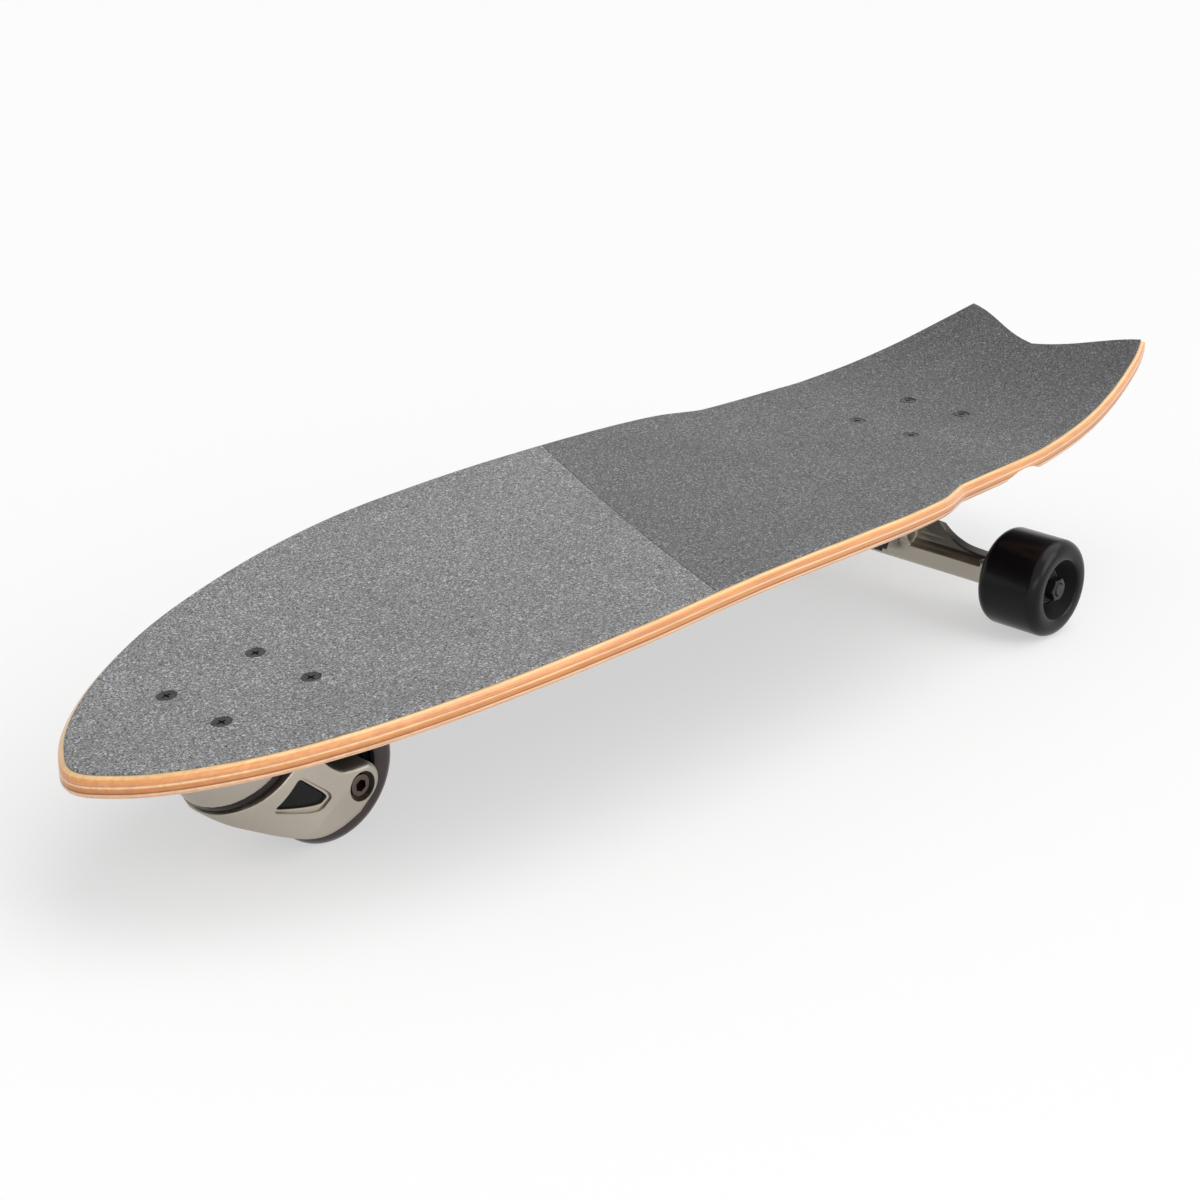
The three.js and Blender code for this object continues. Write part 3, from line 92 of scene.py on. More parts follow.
# The deck, in millimetres. Its kink and grip tape differ a little from the part's source.
DECK_LENGTH = 796
HALF_WIDTH = 115
DECK_THICKNESS = 11
EDGE_ROUND = 3
CONCAVE = 5.5
CAMBER = 10.5
NOSE_DROP = 8.1
TAIL_KICK = 28.3
NOTCH_DEPTH = 28
NOTCH_RUN = 110
NOSE_X = DECK_LENGTH / 2
TAIL_X = -DECK_LENGTH / 2
NOSE_REACH = 97
TAIL_REACH = 165
FRONT_BOLT_X = NOSE_X - NOSE_REACH
REAR_BOLT_X = TAIL_X + TAIL_REACH
REAR_AXLE_X = REAR_BOLT_X + AXLE_FORWARD
FRONT_TOP = 90.54388
REAR_TOP = REAR_WHEEL_RADIUS + TRUCK_HEIGHT + RISER_THICKNESS + DECK_THICKNESS
GRIP_INSET = 2.8
GRIP_LOW = 0.2
GRIP_HIGH = 1.2
SEAM_FORWARD = 35.2
SEAM_ANGLE = math.radians(25)
SEAM_GAP = 0.4
BOLT_SPAN_X = 53.8
BOLT_SPAN_Y = 41.3
WELL_RADIUS = 50
WELL_DEPTH = 5.2
WELL_REACH = 36
WELL_X = REAR_AXLE_X + 14

# The share of the thickness where the stain starts, its slope and its most.
STAIN_DEPTH, STAIN_RATE, STAIN_MOST = 0.99, 300, 3

# Shares of the deck's length or of a run, and of a width or a height.
OUTLINE = [
    (0, 0), (0.0012, 0.05), (0.005, 0.109), (0.024, 0.286), (0.062, 0.497), (0.118, 0.697),
    (0.175, 0.827), (0.25, 0.935), (0.325, 0.992), (0.4, 1), (0.5515, 1), (0.608, 0.988),
    (0.65, 0.957), (0.669, 0.918), (0.683, 0.888), (0.695, 0.88), (0.721, 0.871),
    (0.778, 0.854), (0.834, 0.823), (0.891, 0.774), (0.947, 0.698), (0.984, 0.63), (1, 0.587),
]
NOSE_SHARES = [(1, 1), (0.8, 0.77), (0.54, 0.51), (0.27, 0.27)]
CAMBER_SHARES = [
    (0.08, 0.29), (0.19, 0.65), (0.3, 0.89), (0.45, 1), (0.58, 0.84), (0.73, 0.51), (0.86, 0.2),
]
TAIL_SHARES = [(0.09, 0.01), (0.35, 0.11), (0.6, 0.335), (0.87, 0.735), (1, 1)]
CONCAVE_SHARES = [(0, 1), (0.12, 1), (0.46, 0.62), (0.79, 0.55), (1, 0.6)]


def smooth_at(knots, place):
    """Smooth curve through knots (place, value) sorted by place."""
    last = len(knots) - 1
    i = 0
    while i < last - 1 and place > knots[i + 1][0]:
        i += 1

    def slope_at(k):
        a, b = max(k - 1, 0), min(k + 1, last)
        return (knots[b][1] - knots[a][1]) / (knots[b][0] - knots[a][0])

    step = knots[i + 1][0] - knots[i][0]
    t = (place - knots[i][0]) / step
    value = knots[i][1] + (knots[i + 1][1] - knots[i][1]) * t * t * (3 - 2 * t)
    leave = slope_at(i) * t * (1 - t) ** 2
    arrive = slope_at(i + 1) * t * t * (1 - t)
    return value + step * (leave - arrive)


BOLT_BASE = FRONT_BOLT_X - REAR_BOLT_X
LIFT_KNOTS = sorted(
    [(REAR_BOLT_X - run * TAIL_REACH, lift * TAIL_KICK) for run, lift in TAIL_SHARES]
    + [(REAR_BOLT_X, 0), (FRONT_BOLT_X, 0)]
    + [(FRONT_BOLT_X - run * BOLT_BASE, lift * CAMBER) for run, lift in CAMBER_SHARES]
    + [(FRONT_BOLT_X + run * NOSE_REACH, -lift * NOSE_DROP) for run, lift in NOSE_SHARES]
)


def deck_top(x, y):
    """Height of the deck's top over the floor."""
    chord = REAR_TOP + (FRONT_TOP - REAR_TOP) * (x - REAR_BOLT_X) / BOLT_BASE
    hollow = CONCAVE * smooth_at(CONCAVE_SHARES, (NOSE_X - x) / DECK_LENGTH)
    return chord + smooth_at(LIFT_KNOTS, x) + hollow * (y / HALF_WIDTH) ** 2


def deck_pitch(x):
    """Angle by which the deck falls towards the nose over one bolt pattern."""
    fall = deck_top(x - BOLT_SPAN_X / 2, 0) - deck_top(x + BOLT_SPAN_X / 2, 0)
    return math.atan2(fall, BOLT_SPAN_X)


def spline(points, t):
    """Point on a curve through 2-D points, its knots spaced by the root of the distance."""
    last = len(points) - 1
    place = min(max(t, 0), 1) * last
    i = min(int(place), last - 1)
    w = place - i
    p1, p2 = points[i], points[i + 1]
    p0 = points[i - 1] if i > 0 else 2 * p1 - p2
    p3 = points[i + 2] if i + 2 <= last else 2 * p2 - p1
    d0, d1, d2 = (max((a - b).length, 1e-9) ** 0.5 for a, b in ((p0, p1), (p1, p2), (p2, p3)))
    m1 = ((p1 - p0) / d0 - (p2 - p0) / (d0 + d1) + (p2 - p1) / d1) * d1
    m2 = ((p2 - p1) / d1 - (p3 - p1) / (d1 + d2) + (p3 - p2) / d2) * d1
    bend = 2 * p1 - 2 * p2 + m1 + m2
    return p1 + m1 * w + (3 * p2 - 3 * p1 - 2 * m1 - m2) * w * w + bend * w ** 3


def curve(points, parts):
    return [tuple(spline(points, k / parts)) for k in range(parts + 1)]


EDGE_KNOTS = [(run * DECK_LENGTH, width * HALF_WIDTH) for run, width in OUTLINE]
SIDE_CURVE = [Vector((NOSE_X - run, width)) for run, width in EDGE_KNOTS]
DECK_ROWS = 174
DECK_COLUMNS = 28


def side_point(row, inset):
    """Point of the deck's left edge in plan, moved inwards."""
    if row == 0:
        return Vector((NOSE_X - inset, 0))
    t = row / DECK_ROWS
    point = spline(SIDE_CURVE, t)
    tangent = (spline(SIDE_CURVE, t + 1e-4) - spline(SIDE_CURVE, t - 1e-4)).normalized()
    inward = Vector((tangent.y, -tangent.x)) * (-1 if tangent.x < 0 else 1)
    if row == DECK_ROWS:
        edge = Vector((NOTCH_DEPTH, -point.y)).normalized()
        forward = Vector((-edge.y, edge.x))
        inward = (inward + forward) / (1 + inward.dot(forward))
    return point + inward * inset


def notch_share(across):
    """Share of the notch's depth at -1 to 1 across the tail."""
    straight = 1 - abs(across)
    return (straight + (1 - math.cos(math.pi * straight)) / 2) / 2


EDGE_AT_WELL = smooth_at(EDGE_KNOTS, NOSE_X - WELL_X)
WELL_TILT = math.atan2(WELL_DEPTH, WELL_REACH)
WELL_TOP = deck_top(WELL_X, EDGE_AT_WELL) - DECK_THICKNESS + WELL_DEPTH


def well_height(x, y):
    """Height up to which a wheel well cuts away the underside."""
    run = WELL_RADIUS ** 2 - (x - WELL_X) ** 2
    if run <= 0:
        return -1
    drop = (WELL_RADIUS - math.sqrt(run)) / math.cos(WELL_TILT)
    return WELL_TOP - drop + (abs(y) - EDGE_AT_WELL) * math.tan(WELL_TILT)


def skin_point(row, across, inset, rise, wells):
    """Point of a plate on the deck, from its right edge at -1 to its left edge at 1."""
    side = side_point(row, inset)
    reach = min(max((TAIL_X + NOTCH_RUN - side.x) / NOTCH_RUN, 0), 1)
    depth = NOTCH_DEPTH * side.y / (OUTLINE[-1][1] * HALF_WIDTH) * reach
    x = side.x + depth * notch_share(across)
    y = side.y * across
    z = deck_top(x, y) + rise
    if wells:
        z = max(z, well_height(x, y))
    return (x, y, z)


def shade(mesh, degrees):
    mesh.polygons.foreach_set("use_smooth", [True] * len(mesh.polygons))
    mesh.set_sharp_from_angle(angle=math.radians(degrees))


def mesh_object(name, points, faces, place=None):
    """A closed mesh from points in millimetres, set in the frame that place gives in metres."""
    mesh = bpy.data.meshes.new(name)
    mesh.from_pydata([tuple(MM * c for c in point) for point in points], [], faces)
    if place is not None:
        mesh.transform(place)
    work = bmesh.new()
    work.from_mesh(mesh)
    bmesh.ops.recalc_face_normals(work, faces=work.faces)
    work.to_mesh(mesh)
    work.free()
    obj = bpy.data.objects.new(name, mesh)
    scene.collection.objects.link(obj)
    return obj


def skin(name, loops, wells=False):
    """A closed plate on the deck. Loops are (inset, rise) from the top's border to the bottom's."""
    points, faces = [], []
    rows = range(1, DECK_ROWS + 1)
    columns = [1 - 2 * c / DECK_COLUMNS for c in range(DECK_COLUMNS + 1)]

    def add(row, across, inset, rise):
        points.append(skin_point(row, across, inset, rise, wells))
        return len(points) - 1

    def grid(inset, rise):
        tip = [add(0, 0, inset, rise)] * len(columns)
        return [tip] + [[add(row, place, inset, rise) for place in columns] for row in rows]

    def border(ids):
        left = [line[0] for line in ids[1:]]
        right = [line[-1] for line in ids[1:]]
        return [ids[0][0]] + left + ids[-1][1:-1] + right[::-1]

    def ring(inset, rise):
        loop = [add(0, 0, inset, rise)] + [add(row, 1, inset, rise) for row in rows]
        loop += [add(DECK_ROWS, place, inset, rise) for place in columns[1:-1]]
        return loop + [add(row, -1, inset, rise) for row in reversed(rows)]

    top, bottom = grid(*loops[0]), grid(*loops[-1])
    rings = [border(top)] + [ring(*loop) for loop in loops[1:-1]] + [border(bottom)]
    for ids in (top, bottom):
        for first, second in zip(ids, ids[1:]):
            for c in range(DECK_COLUMNS):
                face = list(dict.fromkeys([first[c], first[c + 1], second[c + 1], second[c]]))
                faces.append(face)
    for upper, lower in zip(rings, rings[1:]):
        for k in range(len(upper)):
            n = (k + 1) % len(upper)
            faces.append([upper[k], upper[n], lower[n], lower[k]])
    return mesh_object(name, points, faces)


def polar(radius, angle, x=0, y=0):
    return (x + radius * math.cos(angle), y + radius * math.sin(angle))


def quarter_turn(steps):
    return [math.pi / 2 * k / steps for k in range(steps + 1)]


def lathe(name, profile, steps, place, closed=False):
    """A shape turned about Z from a profile of (radius, height)."""
    points, faces, rings = [], [], []
    for radius, height in profile:
        if radius < 1e-9:
            rings.append([len(points)] * steps)
            points.append((0, 0, height))
            continue
        rings.append(list(range(len(points), len(points) + steps)))
        points += [(*polar(radius, 2 * math.pi * k / steps), height) for k in range(steps)]
    ends = rings[1:] + (rings[:1] if closed else [])
    for low, high in zip(rings, ends):
        for k in range(steps):
            n = (k + 1) % steps
            face = list(dict.fromkeys([low[k], low[n], high[n], high[k]]))
            if len(face) > 2:
                faces.append(face)
    return mesh_object(name, points, faces, place)


def rod(radius, low, high, place, steps=64):
    return lathe("rod", [(0, low), (radius, low), (radius, high), (0, high)], steps, place)


def loft(name, layers, place):
    """A solid between loops that have equally many 3-D points."""
    count = len(layers[0])
    top = count * (len(layers) - 1)
    faces = [list(range(count))[::-1], list(range(top, top + count))]
    for start in range(0, top, count):
        for k in range(count):
            a, n = start + k, start + (k + 1) % count
            faces.append([a, n, count + n, count + a])
    return mesh_object(name, [point for layer in layers for point in layer], faces, place)


def prism(name, outline, low, high, place):
    """A straight prism along Z from 2-D points."""
    return loft(name, [[(x, y, z) for x, y in outline] for z in (low, high)], place)


def block(x0, x1, y0, y1, z0, z1, place):
    return prism("block", [(x0, y0), (x1, y0), (x1, y1), (x0, y1)], z0, z1, place)


def round_off(start, corner, end, parts):
    """Points of a curve from start to end, drawn towards the corner."""
    shares = [k / parts for k in range(parts + 1)]
    return [tuple((1 - t) ** 2 * start + 2 * t * (1 - t) * corner + t * t * end) for t in shares]


def fillet(profile, size, closed=False, parts=3):
    """The profile with each corner rounded."""
    count = len(profile)
    result = []
    for i, corner in enumerate(profile):
        if not closed and i in (0, count - 1):
            result.append(tuple(corner))
            continue
        here = Vector(corner)
        before, after = Vector(profile[i - 1]) - here, Vector(profile[(i + 1) % count]) - here
        reach = min(size, before.length * 0.45, after.length * 0.45)
        start, end = here + before.normalized() * reach, here + after.normalized() * reach
        result += round_off(start, here, end, parts)
    return result


def settle(obj):
    """Turns an object's modifiers into its mesh."""
    graph = bpy.context.evaluated_depsgraph_get()
    mesh = bpy.data.meshes.new_from_object(obj.evaluated_get(graph))
    old = obj.data
    obj.modifiers.clear()
    obj.data = mesh
    bpy.data.meshes.remove(old)


def combine(base, *steps):
    """Joins, cuts or intersects base with other objects, which are used up."""
    for operation, tool in steps:
        modifier = base.modifiers.new(operation, "BOOLEAN")
        modifier.operation = operation
        modifier.object = tool
        modifier.solver = "MANIFOLD"
    settle(base)
    for _, tool in steps:
        bpy.data.objects.remove(tool)
    return base


def cut(base, *tools):
    return combine(base, *[("DIFFERENCE", tool) for tool in tools])


def join(base, *tools):
    return combine(base, *[("UNION", tool) for tool in tools])


def cast(obj, voxel, passes, most_faces):
    """Rounds the edges of a solid as a casting has them."""
    remesh = obj.modifiers.new("skin", "REMESH")
    remesh.mode = "VOXEL"
    remesh.voxel_size = voxel * MM
    soft = obj.modifiers.new("soft", "SMOOTH")
    soft.factor = 0.5
    soft.iterations = passes
    settle(obj)
    share = most_faces / (2 * len(obj.data.polygons))
    if share < 1:
        fewer = obj.modifiers.new("fewer", "DECIMATE")
        fewer.ratio = share
        settle(obj)
    return obj


def copy_of(node):
    obj = nodes[node].copy()
    obj.data = nodes[node].data.copy()
    obj.parent = None
    obj.matrix_world = Matrix.Identity(4)
    scene.collection.objects.link(obj)
    return obj


def frame_at(x, z, turn):
    """A frame in the board's middle plane, turned about Y."""
    return Matrix.Translation((x * MM, 0, z * MM)) @ Matrix.Rotation(turn, 4, "Y")


def shifted(place, x, y, z=0):
    return place @ Matrix.Translation((x * MM, y * MM, z * MM))


def across(place, x, z):
    """A frame on an axle along Y, with its own Z along the board's Y."""
    return shifted(place, x, 0, z) @ Matrix.Rotation(-math.pi / 2, 4, "X")


def from_side(place):
    """The frame turned so that its own Y is the place's Z."""
    return place @ Matrix.Rotation(math.pi / 2, 4, "X")


def add_camera():
    data = bpy.data.cameras.new("camera")
    data.sensor_fit = "HORIZONTAL"
    data.sensor_width = SENSOR_MM
    data.lens = FOCAL_MM
    data.clip_start = 0.02
    camera = bpy.data.objects.new("camera", data)
    axes = Matrix((CAMERA_RIGHT, CAMERA_UP, CAMERA_BACK)).transposed()
    turn = axes.to_quaternion().to_matrix().to_4x4()
    camera.matrix_world = Matrix.Translation(CAMERA_PLACE) @ turn
    scene.collection.objects.link(camera)
    scene.camera = camera


class Tree:
    """Builds a node tree by short calls."""

    def __init__(self, owner):
        owner.use_nodes = True
        self.tree = owner.node_tree
        self.tree.nodes.clear()

    def new(self, kind):
        return self.tree.nodes.new("ShaderNode" + kind)

    def link(self, source, socket):
        self.tree.links.new(source, socket)

    def math(self, kind, left, right):
        node = self.new("Math")
        node.operation = kind
        for socket, value in zip(node.inputs, (left, right)):
            if isinstance(value, (int, float)):
                socket.default_value = value
            else:
                self.link(value, socket)
        return node.outputs[0]

    def seen_rays(self):
        """1 for the rays that show the background: camera, glossy and transmission rays."""
        rays = self.new("LightPath").outputs
        direct = self.math("MAXIMUM", rays["Is Camera Ray"], rays["Is Glossy Ray"])
        return self.math("MAXIMUM", direct, rays["Is Transmission Ray"])

    def finish_mixed(self, kind, factor, first, second):
        """Ends the tree in an output of two mixed shaders."""
        mix = self.new("MixShader")
        for socket, source in zip(mix.inputs, (factor, first.outputs[0], second.outputs[0])):
            self.link(source, socket)
        self.link(mix.outputs[0], self.new(kind).inputs[0])


def add_world():
    scene.world = bpy.data.worlds.new("world")
    tree = Tree(scene.world)
    fill, shown = tree.new("Background"), tree.new("Background")
    for node, strength in ((fill, 0.5), (shown, 1)):
        node.inputs["Color"].default_value = (1, 1, 1, 1)
        node.inputs["Strength"].default_value = strength
    tree.finish_mixed("OutputWorld", tree.seen_rays(), fill, shown)


def add_floor():
    """White for the rays that show the background, with half of the shading kept."""
    half = 12000
    corners = [(-half, -half, 0), (half, -half, 0), (half, half, 0), (-half, half, 0)]
    floor = mesh_object("floor", corners, [(0, 1, 2, 3)])
    material = bpy.data.materials.new("floor_white")
    tree = Tree(material)
    paint = tree.new("BsdfDiffuse")
    paint.inputs["Color"].default_value = (0.93, 0.93, 0.93, 1)
    share = tree.math("MULTIPLY", tree.seen_rays(), 0.5)
    tree.finish_mixed("OutputMaterial", share, paint, tree.new("Emission"))
    floor.data.materials.append(material)


def add_lamp(name, kind, power, direction, place=(0, 0, 0)):
    """A lamp whose light comes from the given direction."""
    data = bpy.data.lights.new(name, kind)
    data.energy = power
    lamp = bpy.data.objects.new(name, data)
    lamp.location = place
    lamp.rotation_euler = Vector(direction).to_track_quat("Z", "Y").to_euler()
    scene.collection.objects.link(lamp)
    return data


def add_lights():
    add_lamp("top_light", "SUN", 1.3, (-0.35, 0.3, 1)).angle = math.radians(60)
    add_lamp("side_light", "SUN", 1.0, (-0.3, 1, 0.5)).angle = math.radians(40)
    place, target = Vector((0.9, 1.5, 0.45)), Vector((0, 0.1, 0.05))
    strip = add_lamp("strip_light", "AREA", 4, place - target, place)
    strip.shape = "RECTANGLE"
    strip.size, strip.size_y = 1.4, 0.35


class Mat(Tree):
    """A material around one principled shader."""

    def __init__(self, name):
        self.material = bpy.data.materials.new(name)
        super().__init__(self.material)
        self.shader = self.new("BsdfPrincipled")
        self.link(self.shader.outputs[0], self.new("OutputMaterial").inputs[0])
        self.coords = self.new("TexCoord").outputs["Object"]

    def fixed(self, **values):
        for name, value in values.items():
            self.shader.inputs[name.replace("_", " ")].default_value = value

    def attribute(self, name):
        node = self.new("Attribute")
        node.attribute_name = name
        return node.outputs["Fac"]

    def noise(self, scale, detail, stretch=None, rough=0.5, source=None):
        node = self.new("TexNoise")
        for name, value in (("Scale", scale), ("Detail", detail), ("Roughness", rough)):
            node.inputs[name].default_value = value
        source = source or self.coords
        if stretch:
            mapping = self.new("Mapping")
            mapping.inputs["Scale"].default_value = stretch
            self.link(source, mapping.inputs["Vector"])
            source = mapping.outputs[0]
        self.link(source, node.inputs["Vector"])
        return node.outputs["Fac"]

    def axes(self):
        """The outputs X, Y and Z of the coordinates."""
        node = self.new("SeparateXYZ")
        self.link(self.coords, node.inputs[0])
        return node.outputs

    def ramp(self, source, stops):
        node = self.new("ValToRGB")
        self.link(source, node.inputs["Fac"])
        bar = node.color_ramp
        while len(bar.elements) < len(stops):
            bar.elements.new(0.5)
        for element, (place, colour) in zip(bar.elements, stops):
            element.position = place
            element.color = (*colour, 1)
        return node.outputs["Color"]

    def span(self, source, low, high, from_low=0.0, from_high=1.0):
        """Turns from_low to from_high into low to high, held beyond it."""
        node = self.new("MapRange")
        limits = {"From Min": from_low, "From Max": from_high, "To Min": low, "To Max": high}
        for name, value in limits.items():
            node.inputs[name].default_value = value
        self.link(source, node.inputs["Value"])
        return node.outputs["Result"]

    def mix(self, factor, first, second, kind="MIX"):
        node = self.new("Mix")
        node.data_type = "RGBA"
        node.blend_type = kind
        sockets = [s for s in node.inputs if s.enabled]
        for socket, value in zip(sockets, (factor, first, second)):
            if isinstance(value, (int, float)):
                socket.default_value = value
            elif isinstance(value, tuple):
                socket.default_value = (*value, 1)
            else:
                self.link(value, socket)
        return [s for s in node.outputs if s.enabled][0]

    def bump(self, height, strength, distance):
        node = self.new("Bump")
        node.inputs["Strength"].default_value = strength
        node.inputs["Distance"].default_value = distance
        self.link(height, node.inputs["Height"])
        return node.outputs[0]

    def finish(self, colour, roughness, normal):
        for name, source in (("Base Color", colour), ("Roughness", roughness), ("Normal", normal)):
            self.link(source, self.shader.inputs[name])
        return self.material


def linear(value):
    """One sRGB channel, 0 to 255, as a linear number."""
    share = value / 255
    return share / 12.92 if share <= 0.04045 else ((share + 0.055) / 1.055) ** 2.4


def rgb(red, green, blue):
    return (linear(red), linear(green), linear(blue))


BLACK, WHITE = (0, 0, 0), (1, 1, 1)
# Where painted shade darkens the grip tape towards the kicked-up tail, in metres along the board.
TAIL_END = (-0.36, -0.22)


def grit(name, dark, light, glint, painted_tail_shade=0.0):
    """Sparkling grit, with painted shade darkening it by the given share at the tail's end."""
    m = Mat(name)
    grains = m.new("TexVoronoi")
    grains.inputs["Scale"].default_value = 1250
    m.link(m.coords, grains.inputs["Vector"])
    fine = m.noise(1100, 2, rough=0.8)
    tone = m.ramp(fine, [(0.38, dark), (0.62, light)])
    cell = m.new("SeparateColor")
    m.link(grains.outputs["Color"], cell.inputs["Color"])
    spark = m.ramp(cell.outputs["Red"], [(0.82, BLACK), (1.0, glint)])
    pit = m.ramp(cell.outputs["Green"], [(0.75, WHITE), (0.95, (0.5, 0.5, 0.5))])
    colour = m.mix(1.0, m.mix(1.0, tone, pit, "MULTIPLY"), spark, "ADD")
    clouds = m.noise(22, 3)
    colour = m.mix(m.span(clouds, 0, 0.16, 0.35, 0.7), colour, dark)
    # Painted shade: darker towards the kicked-up tail, which turns away from the light.
    colour = m.mix(m.span(m.axes()["X"], painted_tail_shade, 0, *TAIL_END), colour, BLACK)
    height = m.math("ADD", grains.outputs["Distance"], fine)
    m.fixed(Specular_IOR_Level=0.3)
    return m.finish(colour, m.span(fine, 0.6, 0.95), m.bump(height, 0.5, 0.0004))


# Depth as a share of the deck's thickness, and the colour there in sRGB.
PLIES = [
    (0.0, 252, 216, 162), (0.06, 250, 208, 150), (0.11, 240, 168, 100),
    (0.23, 234, 158, 92), (0.27, 226, 160, 112), (0.36, 224, 156, 108),
    (0.39, 250, 212, 160), (0.44, 248, 208, 156), (0.47, 224, 152, 88),
    (0.63, 212, 140, 78), (0.66, 158, 98, 50), (0.7, 154, 94, 48),
    (0.73, 244, 200, 156), (0.83, 238, 190, 148), (0.86, 206, 146, 104),
    (0.89, 240, 198, 160), (1.0, 232, 184, 134),
]


def wood(name):
    """Lacquered plies that show at the edge, with the underside stained dark."""
    m = Mat(name)
    fibre = m.noise(45, 6, (0.5, 8, 8), 0.62)
    pores = m.noise(700, 3, (0.05, 1, 1))
    depth = m.attribute("ply")
    plies = m.ramp(depth, [(place, rgb(*colour)) for place, *colour in PLIES])
    shade_by_fibre = m.ramp(fibre, [(0.3, (0.72, 0.66, 0.6)), (0.66, WHITE)])
    colour = m.mix(0.6, plies, shade_by_fibre, "MULTIPLY")
    place = m.axes()
    by_ply = m.new("CombineXYZ")
    for axis, value, factor in (("X", place["X"], 7), ("Y", place["Y"], 7), ("Z", depth, 8)):
        m.link(m.math("MULTIPLY", value, factor), by_ply.inputs[axis])
    streaks = m.noise(1.6, 5, rough=0.7, source=by_ply.outputs[0])
    shade_by_streak = m.ramp(streaks, [(0.36, (0.74, 0.62, 0.52)), (0.56, WHITE)])
    colour = m.mix(0.7, colour, shade_by_streak, "MULTIPLY")
    colour = m.mix(m.span(pores, 0, 0.2, 0.45, 0.75), colour, rgb(150, 92, 44))
    stain = m.ramp(fibre, [(0.3, rgb(44, 30, 24)), (0.7, rgb(74, 52, 42))])
    colour = m.mix(m.span(m.attribute("stained"), 0, 1, -0.05, 0.15), colour, stain)
    m.fixed(Coat_Weight=0.55, Coat_Roughness=0.16)
    return m.finish(colour, m.span(fibre, 0.32, 0.48), m.bump(pores, 0.06, 0.0002))


def alloy(name, colour, rough_low, rough_high):
    m = Mat(name)
    grain = m.noise(900, 4)
    clouds = m.noise(28, 4)
    tone = m.mix(m.span(clouds, 0, 0.4, 0.35, 0.7), colour, tuple(0.8 * c for c in colour))
    # Painted shade: darker where the attribute hollow marks a scooped recess of the hanger.
    tone = m.mix(m.attribute("hollow"), tone, tuple(0.22 * c for c in colour))
    m.fixed(Metallic=1.0)
    return m.finish(tone, m.span(grain, rough_low, rough_high), m.bump(grain, 0.16, 0.00012))


def polymer(name, dark, light, rough_low, rough_high, gloss=0.5):
    m = Mat(name)
    clouds = m.noise(35, 4)
    fine = m.noise(1200, 2)
    tone = m.ramp(clouds, [(0.3, dark), (0.7, light)])
    m.fixed(Specular_IOR_Level=gloss)
    return m.finish(tone, m.span(clouds, rough_low, rough_high), m.bump(fine, 0.03, 0.0001))


def painted_steel(name):
    m = Mat(name)
    fine = m.noise(1500, 3)
    wear = m.noise(200, 4)
    tone = m.ramp(wear, [(0.35, rgb(24, 24, 26)), (0.75, rgb(52, 52, 54))])
    m.fixed(Metallic=0.5)
    return m.finish(tone, m.span(fine, 0.28, 0.48), m.bump(fine, 0.1, 0.0001))


POLYMERS = {
    "smoke_urethane": (rgb(48, 40, 39), rgb(68, 58, 56), 0.16, 0.26, 0.35),
    "black_urethane": (rgb(9, 7, 10), rgb(15, 13, 16), 0.17, 0.28, 0.2),
    "bushing_urethane": (rgb(40, 40, 44), rgb(64, 64, 70), 0.35, 0.5),
    "seal_rubber": (rgb(20, 15, 13), rgb(36, 29, 26), 0.1, 0.18, 0.3),
    "matte_black": (rgb(9, 8, 9), rgb(15, 14, 15), 0.5, 0.65, 0.1),
    "black_plastic": (rgb(8, 8, 9), rgb(16, 16, 17), 0.2, 0.32, 0.2),
}
finishes = {
    "light_grip": grit("light_grit", rgb(84, 84, 85), rgb(166, 166, 167), (0.36, 0.36, 0.37)),
    # The tail's grip gets painted shade, 0.3 at its end.
    "dark_grip": grit("dark_grit", rgb(64, 64, 65), rgb(136, 136, 137), (0.26, 0.26, 0.265), 0.3),
    "maple_laminate": wood("maple"),
    "satin_alloy": alloy("satin_alloy", rgb(181, 173, 161), 0.34, 0.52),
    "bright_steel": alloy("bright_steel", rgb(214, 214, 212), 0.16, 0.3),
    "black_steel": painted_steel("black_steel"),
    "smoked_steel": alloy("smoked_steel", rgb(98, 86, 81), 0.14, 0.26),
    **{name: polymer(name, *values) for name, values in POLYMERS.items()},
}
slots = {row["node"]: row["material_slot"] for row in frame["record"]["subparts"]}
bodies = frame["record"]["behaviour"]["bodies"]
body_of = {node: body for body, held in bodies.items() for node in held}
dressed = set()


def dress(piece, *held, slot=None, finish=None, degrees=38):
    """Gives a finished piece its material and body, and lets it stand for CAD nodes."""
    piece.name = "shown_" + held[0]
    slot = slot or slots[held[0]]
    piece.data.materials.clear()
    piece.data.materials.append(finishes[finish or slot])
    shade(piece.data, degrees)
    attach(piece, body_of[held[0]])
    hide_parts(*held)
    dressed.update(held)


def second_finish(piece, finish, place, inner, outer):
    """Gives the faces between two radii about place's Z another finish."""
    piece.data.materials.append(finishes[finish])
    back = place.inverted()
    for face in piece.data.polygons:
        spot = back @ face.center / MM
        if inner < math.hypot(spot.x, spot.y) < outer:
            face.material_index = 1


# Frames of the mounts, the swivel and the axles.
FRONT_PITCH = deck_pitch(FRONT_BOLT_X)
FRONT_LEAN = DECK_THICKNESS * math.tan(FRONT_PITCH)
front_mount = frame_at(FRONT_BOLT_X - FRONT_LEAN, FRONT_TOP - DECK_THICKNESS, FRONT_PITCH)
rear_mount = frame_at(REAR_BOLT_X, REAR_TOP - DECK_THICKNESS, 0)
swivel = frame_at(SWIVEL_X, SWIVEL_Z, TILT)
front_axle = across(swivel, -TRAIL, -DROP)
rear_axle = across(Matrix.Identity(4), REAR_AXLE_X, REAR_WHEEL_RADIUS)
BOLT_PLACES = [
    (end * BOLT_SPAN_X / 2, side * BOLT_SPAN_Y / 2) for side in (1, -1) for end in (1, -1)
]


def bolt_rises(bolt_x, pitch):
    """Heights of the deck's top at four bolts over the plane through their middle."""
    return [deck_top(bolt_x + x * math.cos(pitch), y) - deck_top(bolt_x, 0) + x * math.sin(pitch)
            for x, y in BOLT_PLACES]


